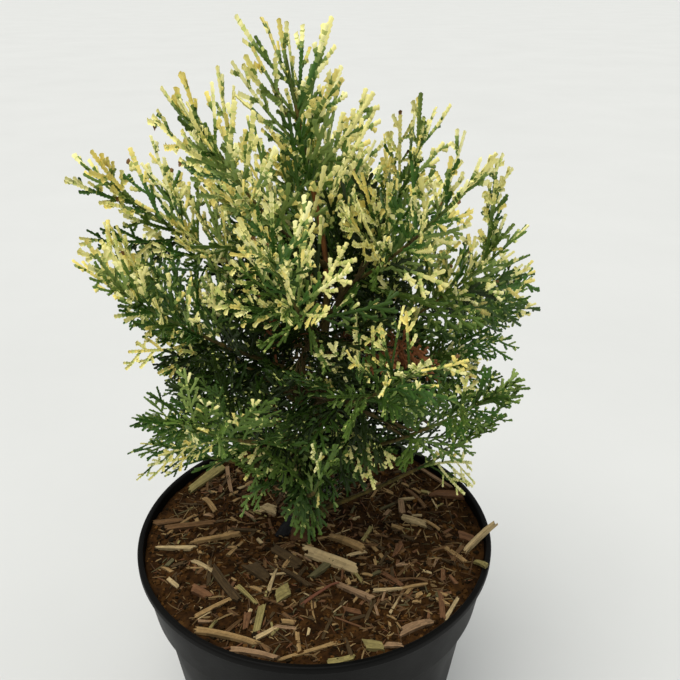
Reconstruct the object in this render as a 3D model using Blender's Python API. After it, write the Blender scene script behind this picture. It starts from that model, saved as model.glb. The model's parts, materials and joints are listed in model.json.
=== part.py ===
"""A dwarf variegated thuja in a black nursery pot, as separate solids in metres, +Z up.

The origin is the middle of the pot's flat underside. The trunk runs up whole through the crown. Boughs
leave it at the golden angle, from the foot to the top, and each one carries a mass of foliage: a stem
with toothed blades, each of which stands for one flat spray of scale leaves. A mass keeps to the space
that lies nearer to its own bough than to any other.
"""
import math
import random

import bmesh
import bpy
import numpy as np
from mathutils import Matrix, Vector, noise
from mathutils.bvhtree import BVHTree

MM = 0.001
GAP = 0.3 * MM  # between a piece and the piece that carries it

# Pot: a 3 litre nursery container
POT_HEIGHT = 150 * MM
RIM_RADIUS = 95 * MM
LIP_HEIGHT = 4 * MM
LIP_WIDTH = 3 * MM
LIP_ROUNDING = 0.8 * MM
COLLAR_HEIGHT = 30 * MM
COLLAR_RADIUS = 89.6 * MM  # outside, at the collar's lower edge
BODY_RADIUS = 86 * MM  # outside, just under the collar
FOOT_RADIUS = 70.5 * MM
FOOT_ROUNDING = 2.5 * MM
WALL = 1.6 * MM
FLOOR = 2.4 * MM
POT_SEGMENTS = 40
DRAIN_HOLES = 8
DRAIN_RADIUS = 5 * MM
DRAIN_CIRCLE = 56 * MM

# Soil
SOIL_LEVEL = POT_HEIGHT - 5.5 * MM
SOIL_UNEVENNESS = 2.2 * MM
SOIL_SEGMENTS = 30
FOOT_PATCH = 12 * MM  # level ground round the trunk

# Trunk
TRUNK_PATH = [(-8, 0, 0), (-2, 1, 52), (5, -1, 108), (7, 1, 158), (-2, 0, 210), (-11, 0, 262)]  # mm
TRUNK_TOP = 0.78  # share of that path; the leader's foliage has the rest
TRUNK_RADIUS = 4.4 * MM
TRUNK_TIP_RADIUS = 1.2 * MM
FLARE = 2.4 * MM
FLARE_HEIGHT = 9 * MM
TRUNK_SIDES = 10
TRUNK_RINGS = 11

# Crown, with heights above the soil
BOUGHS = 21
GOLDEN_ANGLE = math.radians(137.5)
LOWEST_TIP = 52 * MM
HIGHEST_TIP = 242 * MM
TOPWARD = 0.85  # under 1 crowds the tips towards the top
CROWN_TOP = 267 * MM
CROWN_WIDEST = 152 * MM
CROWN_RADIUS = 106 * MM
SKIRT_RADIUS = 0.80  # of the crown's radius, at the soil
LOWEST_FORK = 9 * MM  # where the boughs leave the trunk
HIGHEST_FORK = 160 * MM
FRONT_TUCK = 0.62  # how far the low boughs on the front are drawn in, and how much higher they end
FRONT_RAISE = 16 * MM
TUCK_ENDS = 115 * MM  # tip height from which the front is as wide as the rest
REACHES = {4: 0.88, 8: 1.13, 12: 1.03, 13: 0.96, 16: 1.08, 17: 1.24, 18: 1.4, 20: 1.4}  # by bough; else 1
RAISES = {0: 16, 4: -35, 5: 15, 8: -9, 11: 16, 12: 4, 16: 12, 17: -8}  # of a bough's tip, in mm; else none
KNEE = (0.55, 0.36)  # where a bough bends up: share of its way out, and of its rise
BOUGH_SHARE = 0.25  # of the way from the trunk to the tip; foliage has the rest
BOUGH_RADIUS = 1.9 * MM
BOUGH_TIP_RADIUS = 1.1 * MM
LOW_BOUGH = 1.15  # of those radii, at the foot
HIGH_BOUGH = 0.75
BOUGH_SIDES = 5
BOUGH_RINGS = 4

# Foliage
STEM_TIP_RADIUS = 0.45 * MM
STEM_RINGS = 5
TWIGS = 9
WIDE_SPREAD = math.radians(72)  # between stem and twig, at the stem's foot
NARROW_SPREAD = math.radians(38)  # and at its tip
LIFT = 0.40  # how strongly a twig turns upwards
LONG_TWIG = 43 * MM
SHORT_TWIG = 23 * MM
LEADER_TWIGS = 0.8  # of the length that boughs' twigs have
TIP_LENGTH = 34 * MM
BLADE_WIDTH = 0.60  # of its length
BLADE_NECK = 0.8 * MM  # half width where it leaves the stem
BLADE_THICKNESS = 1.3 * MM
ROOT_DEPTH = 0.6 * MM  # how far past the stem's middle a blade starts
FINGERS = 3  # on each side of a blade
FITS = (1.0, 0.85, 0.7, 0.55, 0.42)  # sizes that a blade is tried at
ROLLS = (0.0, 0.6, 1.2, 1.8, 2.4)  # turns round its spine that each size is tried at
ROOT_ZONE = 3 * MM  # round a blade's root, where it may touch its own stem
SPACE_MARGIN = 1.0 * MM
OWN_FROM = 0.12  # share of a bough's path from which it claims space
SOIL_CLEARANCE = 5 * MM
RIM_CLEARANCE = 2 * MM
RIM_ZONE = 12 * MM  # in from the rim, where foliage stays above it
PATH_SAMPLES = 40

TIERS = ("low", "mid", "high")

# Wood chips on the soil: x, y, length and width in mm, heading and tilt in degrees
CHIPS = {
    "broad": (8, -22, 32, 7.2, -28, 0),
    "crossed": (17, -8.5, 21, 5.0, -29, 0),
    "pink": (21, -45, 21, 4.0, -33, 0),
    "curved": (55, 9.5, 15, 4.8, -32, 0),
    "long": (-39.5, -73.5, 30, 3.6, -14, 0),
    "front": (-25.5, -83, 22, 3.4, -15, 0),
    "wide": (-68, 50, 30, 8.0, 57, 0),
    "wedge": (49.5, -68, 17, 4.6, 25, 0),
    "square": (76, 32, 18, 6.2, -3, 0),
    "stick": (-54, -4.5, 26, 3.2, 11, 0),
    "dark": (-44.5, -39, 26, 4.8, -54, 0),
    "leaning": (88.5, -10, 23, 3.4, 34, 25),  # on the soil at one end and over the rim at the other
}
CHIP_THICKNESS = 2.0 * MM
CHIP_SECTIONS = (-0.5, -0.2, 0.2, 0.5)  # of its length
CHIP_FEELERS = 41  # places along a chip where its height over the soil is felt


def material(name, colour, roughness):
    made = bpy.data.materials.new(name)
    made.use_nodes = True
    shader = made.node_tree.nodes["Principled BSDF"]
    shader.inputs["Base Color"].default_value = (*colour, 1)
    shader.inputs["Roughness"].default_value = roughness
    shader.inputs["Metallic"].default_value = 0
    made.diffuse_color = (*colour, 1)
    return made


def add_object(name, mesh, finish):
    made = bpy.data.objects.new(name, mesh)
    made.data.materials.append(finish)
    bpy.context.scene.collection.objects.link(made)
    return made


def mesh_of(points, faces, name):
    mesh = bpy.data.meshes.new(name)
    mesh.from_pydata([tuple(p) for p in points], [], faces)
    mesh.validate()
    return mesh


# ---------------------------------------------------------------- turned shapes and tubes


def turned(name, profile, segments, height=None):
    """A mesh turned round Z from (radius, z) points that start and end on the axis, going up outside."""
    points, rings = [], []
    for radius, z in profile:
        if radius == 0:
            rings.append([len(points)])
            points.append((0, 0, z))
            continue
        rings.append(range(len(points), len(points) + segments))
        for k in range(segments):
            angle = math.tau * k / segments
            x, y = radius * math.cos(angle), radius * math.sin(angle)
            points.append((x, y, z if height is None else height(x, y, z)))
    faces = []
    for low, high in zip(rings, rings[1:]):
        for k in range(segments):
            after = (k + 1) % segments
            if len(low) == 1:
                faces.append((low[0], high[after], high[k]))
            elif len(high) == 1:
                faces.append((low[k], low[after], high[0]))
            else:
                faces.append((low[k], low[after], high[after], high[k]))
    return mesh_of(points, faces, name)


def tube(name, centres, radii, sides, turn=0.0, lobes=None):
    """A closed tube with flat ends along centres, whose rings keep their roll from one to the next."""
    points, faces = [], []
    side = None
    for k, centre in enumerate(centres):
        ahead = centres[min(k + 1, len(centres) - 1)]
        behind = centres[max(k - 1, 0)]
        along = (ahead - behind).normalized()
        if side is None:
            side = along.orthogonal().normalized()
        side = (side - along * side.dot(along)).normalized()
        across = along.cross(side)
        for n in range(sides):
            angle = turn + math.tau * n / sides
            radius = radii[k] if lobes is None else radii[k] + lobes(k, angle)
            points.append(centre + (side * math.cos(angle) + across * math.sin(angle)) * radius)
    for k in range(len(centres) - 1):
        for n in range(sides):
            after = (n + 1) % sides
            faces.append((k * sides + n, k * sides + after, (k + 1) * sides + after, (k + 1) * sides + n))
    last = (len(centres) - 1) * sides
    faces.append(tuple(reversed(range(sides))))
    faces.append(tuple(range(last, last + sides)))
    return mesh_of(points, faces, name)


# ---------------------------------------------------------------- paths


def smooth_path(corners, share):
    """A point on the Catmull-Rom curve through the corners, at a share of the way from 0 to 1."""
    place = min(max(share, 0.0), 1.0) * (len(corners) - 1)
    k = min(int(place), len(corners) - 2)
    t = place - k
    p1, p2 = corners[k], corners[k + 1]
    p0 = corners[k - 1] if k > 0 else p1 * 2 - p2
    p3 = corners[k + 2] if k + 2 < len(corners) else p2 * 2 - p1
    return 0.5 * (2 * p1 + (p2 - p0) * t + (2 * p0 - 5 * p1 + 4 * p2 - p3) * t**2
                  + (3 * p1 - p0 - 3 * p2 + p3) * t**3)


TRUNK_CORNERS = [Vector((x * MM, y * MM, SOIL_LEVEL + z * MM)) for x, y, z in TRUNK_PATH]


def trunk_point(share):
    return smooth_path(TRUNK_CORNERS, share)


def trunk_radius(share):
    rise = trunk_point(share).z - SOIL_LEVEL
    thinned = TRUNK_RADIUS + (TRUNK_TIP_RADIUS - TRUNK_RADIUS) * min(share / TRUNK_TOP, 1) ** 0.8
    return thinned + FLARE * math.exp(-rise / FLARE_HEIGHT * 2)


def trunk_share_at(height):
    """The share of the trunk's path that lies at a height above the soil."""
    low, high = 0.0, 1.0
    for _ in range(30):
        middle = (low + high) / 2
        if trunk_point(middle).z - SOIL_LEVEL < height:
            low = middle
        else:
            high = middle
    return low


def crown_radius(height):
    if height > CROWN_WIDEST:
        return CROWN_RADIUS * (1 - ((height - CROWN_WIDEST) / (CROWN_TOP - CROWN_WIDEST)) ** 2.1)
    drop = (CROWN_WIDEST - height) / CROWN_WIDEST
    return CROWN_RADIUS * (1 - (1 - SKIRT_RADIUS) * drop**1.5)


class Limb:
    """A path from inside the wood to the furthest tip of the foliage, whose stem starts at first."""

    def length(self):
        places = [self.point(k / PATH_SAMPLES) for k in range(PATH_SAMPLES + 1)]
        return sum((after - before).length for before, after in zip(places, places[1:]))


class Bough(Limb):
    own_from = OWN_FROM
    first = BOUGH_SHARE
    twig_size = 1.0

    def __init__(self, number):
        rise = (number + 0.5) / BOUGHS
        azimuth = number * GOLDEN_ANGLE
        height = LOWEST_TIP + (HIGHEST_TIP - LOWEST_TIP) * rise**TOPWARD + RAISES.get(number, 0) * MM
        front = max(0.0, -math.sin(azimuth)) ** 1.5
        tucked = front * min(max((TUCK_ENDS - height) / (TUCK_ENDS - LOWEST_TIP), 0.0), 1.0)
        reach = crown_radius(height) * REACHES.get(number, 1.0) * (1 - FRONT_TUCK * tucked)
        height += FRONT_RAISE * tucked
        fork = trunk_share_at(LOWEST_FORK + (HIGHEST_FORK - LOWEST_FORK) * rise)
        thick = LOW_BOUGH + (HIGH_BOUGH - LOW_BOUGH) * rise
        self.number = number
        self.start = trunk_point(fork)
        self.tip = Vector((reach * math.cos(azimuth), reach * math.sin(azimuth), SOIL_LEVEL + height))
        self.knee = self.start.lerp(self.tip, KNEE[0])
        self.knee.z = self.start.z + (self.tip.z - self.start.z) * KNEE[1]
        self.base_radius = BOUGH_RADIUS * thick
        self.end_radius = BOUGH_TIP_RADIUS * thick
        self.label = f"{TIERS[number * len(TIERS) // BOUGHS]}_{number + 1:02d}"

    def point(self, share):
        return (self.start * (1 - share) ** 2 + self.knee * (2 * share * (1 - share))
                + self.tip * share**2)

    def along(self, share):
        return ((self.knee - self.start) * (1 - share) + (self.tip - self.knee) * share).normalized()


class Leader(Limb):
    """The end of the trunk's own path, which carries the top of the crown."""

    own_from = first = TRUNK_TOP
    twig_size = LEADER_TWIGS
    number = BOUGHS
    base_radius = end_radius = TRUNK_TIP_RADIUS
    tip = TRUNK_CORNERS[-1]
    label = "top"

    def point(self, share):
        return trunk_point(share)

    def along(self, share):
        return (trunk_point(share + 0.01) - trunk_point(share - 0.01)).normalized()


# ---------------------------------------------------------------- each mass's own space

def sampled(path, first, last):
    return np.array([path(share)[:] for share in np.linspace(first, last, PATH_SAMPLES)])


def nearest(points, path):
    return np.linalg.norm(points[:, None, :] - path[None, :, :], axis=2).min(axis=1)


class Space:
    """Says whether points keep to one mass's space, clear of wood, pot and soil."""

    def __init__(self, limbs):
        self.paths = [sampled(limb.point, limb.own_from, 1) for limb in limbs]
        self.wood = [sampled(limb.point, limb.own_from, limb.first) for limb in limbs]
        self.wood_radii = [limb.base_radius for limb in limbs]
        self.trunk = sampled(trunk_point, 0, TRUNK_TOP)
        self.trunk_radii = np.array([trunk_radius(s) for s in np.linspace(0, TRUNK_TOP, PATH_SAMPLES)])

    def holds(self, number, points):
        points = np.array([point[:] for point in points])
        inside_rim = np.hypot(points[:, 0], points[:, 1]) < RIM_RADIUS - RIM_ZONE
        floor = np.where(inside_rim, SOIL_LEVEL + SOIL_CLEARANCE, POT_HEIGHT + RIM_CLEARANCE)
        if (points[:, 2] < floor).any():
            return False
        own = nearest(points, self.paths[number])
        others = (path for other, path in enumerate(self.paths) if other != number)
        if any((nearest(points, path) < own + SPACE_MARGIN).any() for path in others):
            return False
        to_trunk = np.linalg.norm(points[:, None, :] - self.trunk[None, :, :], axis=2)
        if (to_trunk < self.trunk_radii + SPACE_MARGIN).any():
            return False
        return not (nearest(points, self.wood[number]) < self.wood_radii[number] + SPACE_MARGIN).any()


# ---------------------------------------------------------------- foliage


def blade(length, width):
    """A flat spray as one closed blade: three fingers down each side and one at the end.

    It lies along +X, flat below, with a ridge above that the fingers slope down from. Returns its
    points and faces, the flat face first.
    """
    neck = 0.22 * length
    step = (0.80 * length - neck) / FINGERS

    def side_points(sign):
        made = [Vector((0, sign * BLADE_NECK, 0)), Vector((neck, sign * BLADE_NECK, 0))]
        for k in range(FINGERS):
            reach = width / 2 * math.sin(math.pi * (0.34 + 0.56 * k / FINGERS))
            base = neck + step * (k + (0.22 if sign > 0 else 0))
            made.append(Vector((base + 0.80 * reach + 0.2 * step, sign * reach, 0)))
            made.append(Vector((base + step * 1.05, sign * 1.5 * BLADE_NECK, 0)))
        return made

    right, left = side_points(-1), side_points(1)
    outline = right + [Vector((length, 0, 0))] + left[::-1]
    ridge = [Vector((0, 0, BLADE_THICKNESS)), Vector((neck + 0.9 * step, 0, BLADE_THICKNESS)),
             Vector((neck + 2.6 * step, 0, 0.6 * BLADE_THICKNESS))]
    root, middle, end = (len(outline) + k for k in range(3))
    tip = len(right)
    faces = [tuple(reversed(range(len(outline)))), (2 * tip, 0, root)]
    for side in (range(tip), range(2 * tip, tip, -1)):
        slopes = [(side[0], side[1], middle, root)]
        slopes += [(side[k], side[k + 1], middle) for k in range(1, 5)]
        slopes += [(side[5], end, middle)]
        slopes += [(side[k], side[k + 1], end) for k in range(5, 7)]
        slopes += [(side[7], tip, end)]
        faces += slopes if side[0] == 0 else [slope[::-1] for slope in slopes]
    return outline + ridge, faces


def frame_at(origin, along, roll):
    """A placement whose X runs along a direction and whose Y is turned round it by roll."""
    side = along.orthogonal().normalized()
    side = Matrix.Rotation(roll, 3, along) @ side
    up = along.cross(side)
    return Matrix.Translation(origin) @ Matrix((along, side, up)).transposed().to_4x4()


def twig_rule(limb, k, twigs):
    """Where twig k of a limb leaves its stem, the way it points, its length and its blade's roll."""
    draw = random.Random(f"twig {limb.number} {k}")
    out = (k + 0.5) / twigs
    share = limb.first + (1 - limb.first) * (0.05 + 0.80 * out)
    along = limb.along(share)
    turn = k * GOLDEN_ANGLE + limb.number
    away = Matrix.Rotation(turn, 3, along) @ along.orthogonal().normalized()
    spread = (WIDE_SPREAD + (NARROW_SPREAD - WIDE_SPREAD) * out) * draw.uniform(0.85, 1.15)
    points_to = along * math.cos(spread) + away * math.sin(spread) + Vector((0, 0, LIFT))
    length = (LONG_TWIG + (SHORT_TWIG - LONG_TWIG) * out) * draw.uniform(0.88, 1.12) * limb.twig_size
    return limb.point(share), points_to.normalized(), length, draw.uniform(0, math.tau)


def tip_rule(limb):
    """The same for the blade that ends a stem, whose point is the limb's furthest tip."""
    share = 1 - TIP_LENGTH / limb.length()
    start = limb.point(share)
    to_tip = limb.tip - start
    return start, to_tip.normalized(), to_tip.length, 0.3 * limb.number


def edge_middles(points, faces):
    return [(points[a] + points[b]) / 2 for face in faces[1:] for a, b in zip(face, face[1:] + face[:1])]


def fitted_blade(space, limb, origin, points_to, length, roll):
    """The largest size of a blade that keeps to the mass's space, or None."""
    for fit in FITS:
        points, faces = blade(length * fit, length * fit * BLADE_WIDTH)
        for turn in ROLLS:
            placement = frame_at(origin - points_to * ROOT_DEPTH, points_to, roll + turn)
            placed = [placement @ p for p in points]
            tested = placed + edge_middles(placed, faces)
            if space.holds(limb.number, [p for p in tested if (p - origin).length > ROOT_ZONE]):
                return placed, faces
    return None


def main_body(mesh):
    """Keeps the largest closed body of a mesh, so that scraps and sealed hollows go, in few triangles."""
    work = bmesh.new()
    work.from_mesh(mesh)
    left = set(work.faces)
    bodies = []
    while left:
        body, edge = [], [left.pop()]
        while edge:
            face = edge.pop()
            body.append(face)
            for side in face.edges:
                for near in side.link_faces:
                    if near in left:
                        left.remove(near)
                        edge.append(near)
        bodies.append(body)
    keep = max(bodies, key=lambda body: sum(face.calc_area() for face in body))
    drop = [face for body in bodies if body is not keep for face in body]
    bmesh.ops.delete(work, geom=drop, context="FACES")
    bmesh.ops.dissolve_limit(work, angle_limit=math.radians(0.2), verts=work.verts, edges=work.edges)
    bmesh.ops.triangulate(work, faces=work.faces)
    work.to_mesh(mesh)
    work.free()


def fused(name, meshes, finish):
    """One object from overlapping closed meshes, by one Boolean union on a collection."""
    parts = bpy.data.collections.new(name + "_parts")
    bpy.context.scene.collection.children.link(parts)
    for number, mesh in enumerate(meshes[1:]):
        parts.objects.link(bpy.data.objects.new(f"{name}_part_{number}", mesh))
    made = add_object(name, meshes[0], finish)
    join = made.modifiers.new("join", "BOOLEAN")
    join.operation = "UNION"
    join.operand_type = "COLLECTION"
    join.collection = parts
    join.solver = "EXACT"
    depsgraph = bpy.context.evaluated_depsgraph_get()
    joined = bpy.data.meshes.new_from_object(made.evaluated_get(depsgraph))
    made.modifiers.clear()
    made.data = joined
    for part in list(parts.objects):
        bpy.data.objects.remove(part)
    bpy.data.collections.remove(parts)
    main_body(joined)


def foliage(limb, space, finish):
    """A limb's mass: its stem from 0.3 mm past the wood, with a blade for each twig and one at the tip."""
    first = limb.first
    last = 1 - 0.7 * TIP_LENGTH / limb.length()  # inside the neck of the blade that ends it
    shares = [first + (last - first) * k / STEM_RINGS for k in range(STEM_RINGS + 1)]
    centres = [limb.point(s) for s in shares]
    centres[0] = centres[0] + limb.along(first) * GAP
    radii = [limb.end_radius + (STEM_TIP_RADIUS - limb.end_radius) * k / STEM_RINGS
             for k in range(STEM_RINGS + 1)]
    meshes = [tube(f"foliage_{limb.label}", centres, radii, 3, turn=0.5)]
    placements = [twig_rule(limb, k, TWIGS) for k in range(TWIGS)] + [tip_rule(limb)]
    for origin, points_to, length, roll in placements:
        made = fitted_blade(space, limb, origin, points_to, length, roll)
        if made:
            meshes.append(mesh_of(*made, f"blade_{limb.number}_{len(meshes)}"))
    fused(f"foliage_{limb.label}", meshes, finish)


# ---------------------------------------------------------------- pot, soil, trunk, boughs


def make_pot(finish):
    inner = RIM_RADIUS - LIP_WIDTH
    under_lip = POT_HEIGHT - LIP_HEIGHT
    collar_foot = POT_HEIGHT - COLLAR_HEIGHT
    collar_top = inner - 0.2 * MM + WALL
    profile = [
        (0, 0),
        (FOOT_RADIUS - FOOT_ROUNDING, 0),
        (FOOT_RADIUS, FOOT_ROUNDING),
        (BODY_RADIUS, collar_foot),
        (COLLAR_RADIUS, collar_foot),
        (collar_top, under_lip),
        (RIM_RADIUS, under_lip),
        (RIM_RADIUS, POT_HEIGHT - LIP_ROUNDING),
        (RIM_RADIUS - LIP_ROUNDING, POT_HEIGHT),
        (inner + LIP_ROUNDING, POT_HEIGHT),
        (inner, POT_HEIGHT - LIP_ROUNDING),
        (collar_top - WALL, under_lip - 1 * MM),
        (COLLAR_RADIUS - WALL, collar_foot + WALL),
        (BODY_RADIUS - WALL, collar_foot - WALL),
        (FOOT_RADIUS - WALL, FLOOR),
        (0, FLOOR),
    ]
    pot = add_object("pot", turned("pot", profile, POT_SEGMENTS), finish)
    pot.data.shade_smooth()
    pot.data.set_sharp_from_angle(angle=math.radians(35))
    cutter = bmesh.new()
    for k in range(DRAIN_HOLES):
        angle = math.tau * (k + 0.5) / DRAIN_HOLES
        x, y = DRAIN_CIRCLE * math.cos(angle), DRAIN_CIRCLE * math.sin(angle)
        place = Matrix.Translation((x, y, FLOOR / 2))
        bmesh.ops.create_cone(cutter, cap_ends=True, segments=10, radius1=DRAIN_RADIUS,
                              radius2=DRAIN_RADIUS, depth=FLOOR * 3, matrix=place)
    mesh = bpy.data.meshes.new("drain_cutter")
    cutter.to_mesh(mesh)
    cutter.free()
    holes = add_object("drain_cutter", mesh, finish)
    holes.hide_render = True
    holes.display_type = "WIRE"
    cut = pot.modifiers.new("drain holes", "BOOLEAN")
    cut.operation = "DIFFERENCE"
    cut.object = holes
    return pot


def soil_height(x, y, z):
    """The top of the soil: level round the trunk and at the wall, gently uneven between."""
    out = math.hypot(x, y)
    if z < SOIL_LEVEL or out <= FOOT_PATCH * 1.01:
        return z
    fade = min((out - FOOT_PATCH) / (20 * MM), 1.0)
    return z + SOIL_UNEVENNESS * fade * noise.noise(Vector((x, y, 0)) / (28 * MM))


def make_soil(finish):
    clear = GAP + 0.3 * MM  # the pot's facets come this much nearer than its corners
    collar_foot = POT_HEIGHT - COLLAR_HEIGHT
    collar_top = RIM_RADIUS - LIP_WIDTH - 0.2 * MM
    share = (SOIL_LEVEL - collar_foot) / (POT_HEIGHT - LIP_HEIGHT - collar_foot)
    collar_in = COLLAR_RADIUS - WALL
    edge = collar_in + (collar_top - collar_in) * share - clear
    profile = [
        (0, FLOOR + GAP),
        (FOOT_RADIUS - WALL - clear, FLOOR + GAP),
        (BODY_RADIUS - WALL - clear, collar_foot - WALL + GAP),
        (COLLAR_RADIUS - WALL - clear, collar_foot + WALL + GAP),
        (edge - 0.3 * MM, SOIL_LEVEL - 3 * MM),
    ]
    rings = 5
    for k in range(rings + 1):
        profile.append((edge + (FOOT_PATCH - edge) * k / rings, SOIL_LEVEL))
    profile.append((0, SOIL_LEVEL))
    soil = add_object("soil", turned("soil", profile, SOIL_SEGMENTS, soil_height), finish)
    soil.data.shade_smooth()
    return soil


def make_trunk(finish):
    shares = [TRUNK_TOP * (k / TRUNK_RINGS) ** 1.35 for k in range(TRUNK_RINGS + 1)]
    centres = [trunk_point(s) for s in shares]
    radii = [trunk_radius(s) for s in shares]

    def root_lobes(ring, angle):
        rise = centres[ring].z - SOIL_LEVEL
        return 1.1 * MM * math.cos(4 * angle + 0.6) * math.exp(-rise / FLARE_HEIGHT * 2)

    mesh = tube("trunk", centres, radii, TRUNK_SIDES, lobes=root_lobes)
    for vertex in mesh.vertices[:TRUNK_SIDES]:
        vertex.co.z = SOIL_LEVEL + GAP
    trunk = add_object("trunk", mesh, finish)
    trunk.data.shade_smooth()
    trunk.data.set_sharp_from_angle(angle=math.radians(50))
    return trunk


def trunk_clearance():
    """A guide that is the trunk's shape grown by the gap, which cuts the boughs' roots."""
    shares = [TRUNK_TOP * k / 24 for k in range(25)]
    centres = [trunk_point(s) for s in shares]
    centres[0] = centres[0] - Vector((0, 0, 5 * MM))
    facets = 1 / math.cos(math.pi / TRUNK_SIDES)
    radii = [(trunk_radius(s) + GAP) * facets for s in shares]
    mesh = tube("trunk_clearance", centres, radii, TRUNK_SIDES)
    guide = bpy.data.objects.new("trunk_clearance", mesh)
    bpy.context.scene.collection.objects.link(guide)
    guide.hide_render = True
    guide.display_type = "WIRE"
    return guide


def make_bough(limb, guide, finish):
    first = 0.02
    shares = [first + (BOUGH_SHARE - first) * k / (BOUGH_RINGS - 1) for k in range(BOUGH_RINGS)]
    centres = [limb.point(s) for s in shares]
    radii = [limb.base_radius + (limb.end_radius - limb.base_radius) * (k / (BOUGH_RINGS - 1)) ** 0.7
             for k in range(BOUGH_RINGS)]
    mesh = tube(f"bough_{limb.label}", centres, radii, BOUGH_SIDES)
    bough = add_object(f"bough_{limb.label}", mesh, finish)
    bough.data.shade_smooth()
    bough.data.set_sharp_from_angle(angle=math.radians(60))
    cut = bough.modifiers.new("trunk", "BOOLEAN")
    cut.operation = "DIFFERENCE"
    cut.object = guide
    return bough


def highest_below(place, carriers):
    """The height of the first carrier straight below a place, or None."""
    heights = [carrier.ray_cast(place, Vector((0, 0, -1)))[0] for carrier in carriers]
    found = [hit.z for hit in heights if hit is not None]
    return max(found) if found else None


def chip_shape(draw, length, width):
    """A split piece of wood along X, flat below, with ragged ends: its points and faces."""
    points = []
    for share in CHIP_SECTIONS:
        end = abs(share) == 0.5
        half = width / 2 * (draw.uniform(0.45, 0.7) if end else draw.uniform(0.9, 1))
        thick = CHIP_THICKNESS * (draw.uniform(0.4, 0.7) if end else 1)
        shift = draw.uniform(-0.12, 0.12) * width
        skew = draw.uniform(-0.06, 0.06) * length
        for side, z in ((-1, 0), (1, 0), (0.75, thick), (-0.75, 0.9 * thick)):
            points.append(Vector((share * length + math.copysign(skew, side), shift + side * half, z)))
    faces = [(0, 3, 2, 1)]
    for k in range(len(CHIP_SECTIONS) - 1):
        a, b = 4 * k, 4 * (k + 1)
        faces += [(a + n, a + (n + 1) % 4, b + (n + 1) % 4, b + n) for n in range(4)]
    last = 4 * (len(CHIP_SECTIONS) - 1)
    faces.append(tuple(range(last, last + 4)))
    return points, faces


def make_chip(name, carriers, finish):
    """A chip laid down on the soil and the rim with the gap under it."""
    x, y, length, width, heading, tilt = CHIPS[name]
    length, width = length * MM, width * MM
    turn = Matrix.Rotation(math.radians(heading), 4, "Z")
    above = Matrix.Translation((x * MM, y * MM, 2 * POT_HEIGHT)) @ turn
    if not tilt:
        low, high = (highest_below(above @ Vector((end * length, 0, 0)), carriers) for end in (-0.5, 0.5))
        tilt = math.degrees(math.atan2(high - low, length))
    above = above @ Matrix.Rotation(-math.radians(tilt), 4, "Y")
    drops = []
    for along in np.linspace(-0.53, 0.53, CHIP_FEELERS):
        for across in np.linspace(-0.5, 0.5, 5):
            under = above @ Vector((along * length, across * width, 0))
            below = highest_below(under, carriers)
            if below is not None:
                drops.append(under.z - below)
    placement = Matrix.Translation((0, 0, GAP - min(drops))) @ above
    points, faces = chip_shape(random.Random(f"chip {name}"), length, width)
    add_object(f"chip_{name}", mesh_of([placement @ p for p in points], faces, name), finish)


def main():
    for old in list(bpy.data.objects):
        bpy.data.objects.remove(old)
    plastic = material("black_plastic", (0.022, 0.022, 0.021), 0.45)
    earth = material("potting_soil", (0.055, 0.028, 0.014), 0.95)
    bark = material("bark", (0.20, 0.11, 0.06), 0.85)
    wood = material("wood_chips", (0.42, 0.29, 0.17), 0.8)
    leaf = material("scale_leaves", (0.09, 0.19, 0.04), 0.6)
    pot = make_pot(plastic)
    soil = make_soil(earth)
    depsgraph = bpy.context.evaluated_depsgraph_get()
    carriers = [BVHTree.FromObject(carrier, depsgraph) for carrier in (pot, soil)]
    for name in CHIPS:
        make_chip(name, carriers, wood)
    make_trunk(bark)
    limbs = [Bough(number) for number in range(BOUGHS)]
    guide = trunk_clearance()
    for limb in limbs:
        make_bough(limb, guide, bark)
    limbs.append(Leader())
    space = Space(limbs)
    for limb in limbs:
        foliage(limb, space, leaf)


main()
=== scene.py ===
"""The looks of the potted thuja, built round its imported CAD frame, in metres, +Z up.

Leaves grow by the source's rule: boughs leave the trunk at the golden angle and twigs leave the boughs
by twig_rule. Here each twig is carried on to a flat spray of shoots, and each shoot to pairs of scale
leaves. Soil, chips, bark and pot are finer than their solids and stay where those are.
"""
import bisect
import functools
import json
import math
import random

import bpy
import numpy as np
from mathutils import Matrix, Vector, noise
from mathutils.bvhtree import BVHTree

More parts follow.
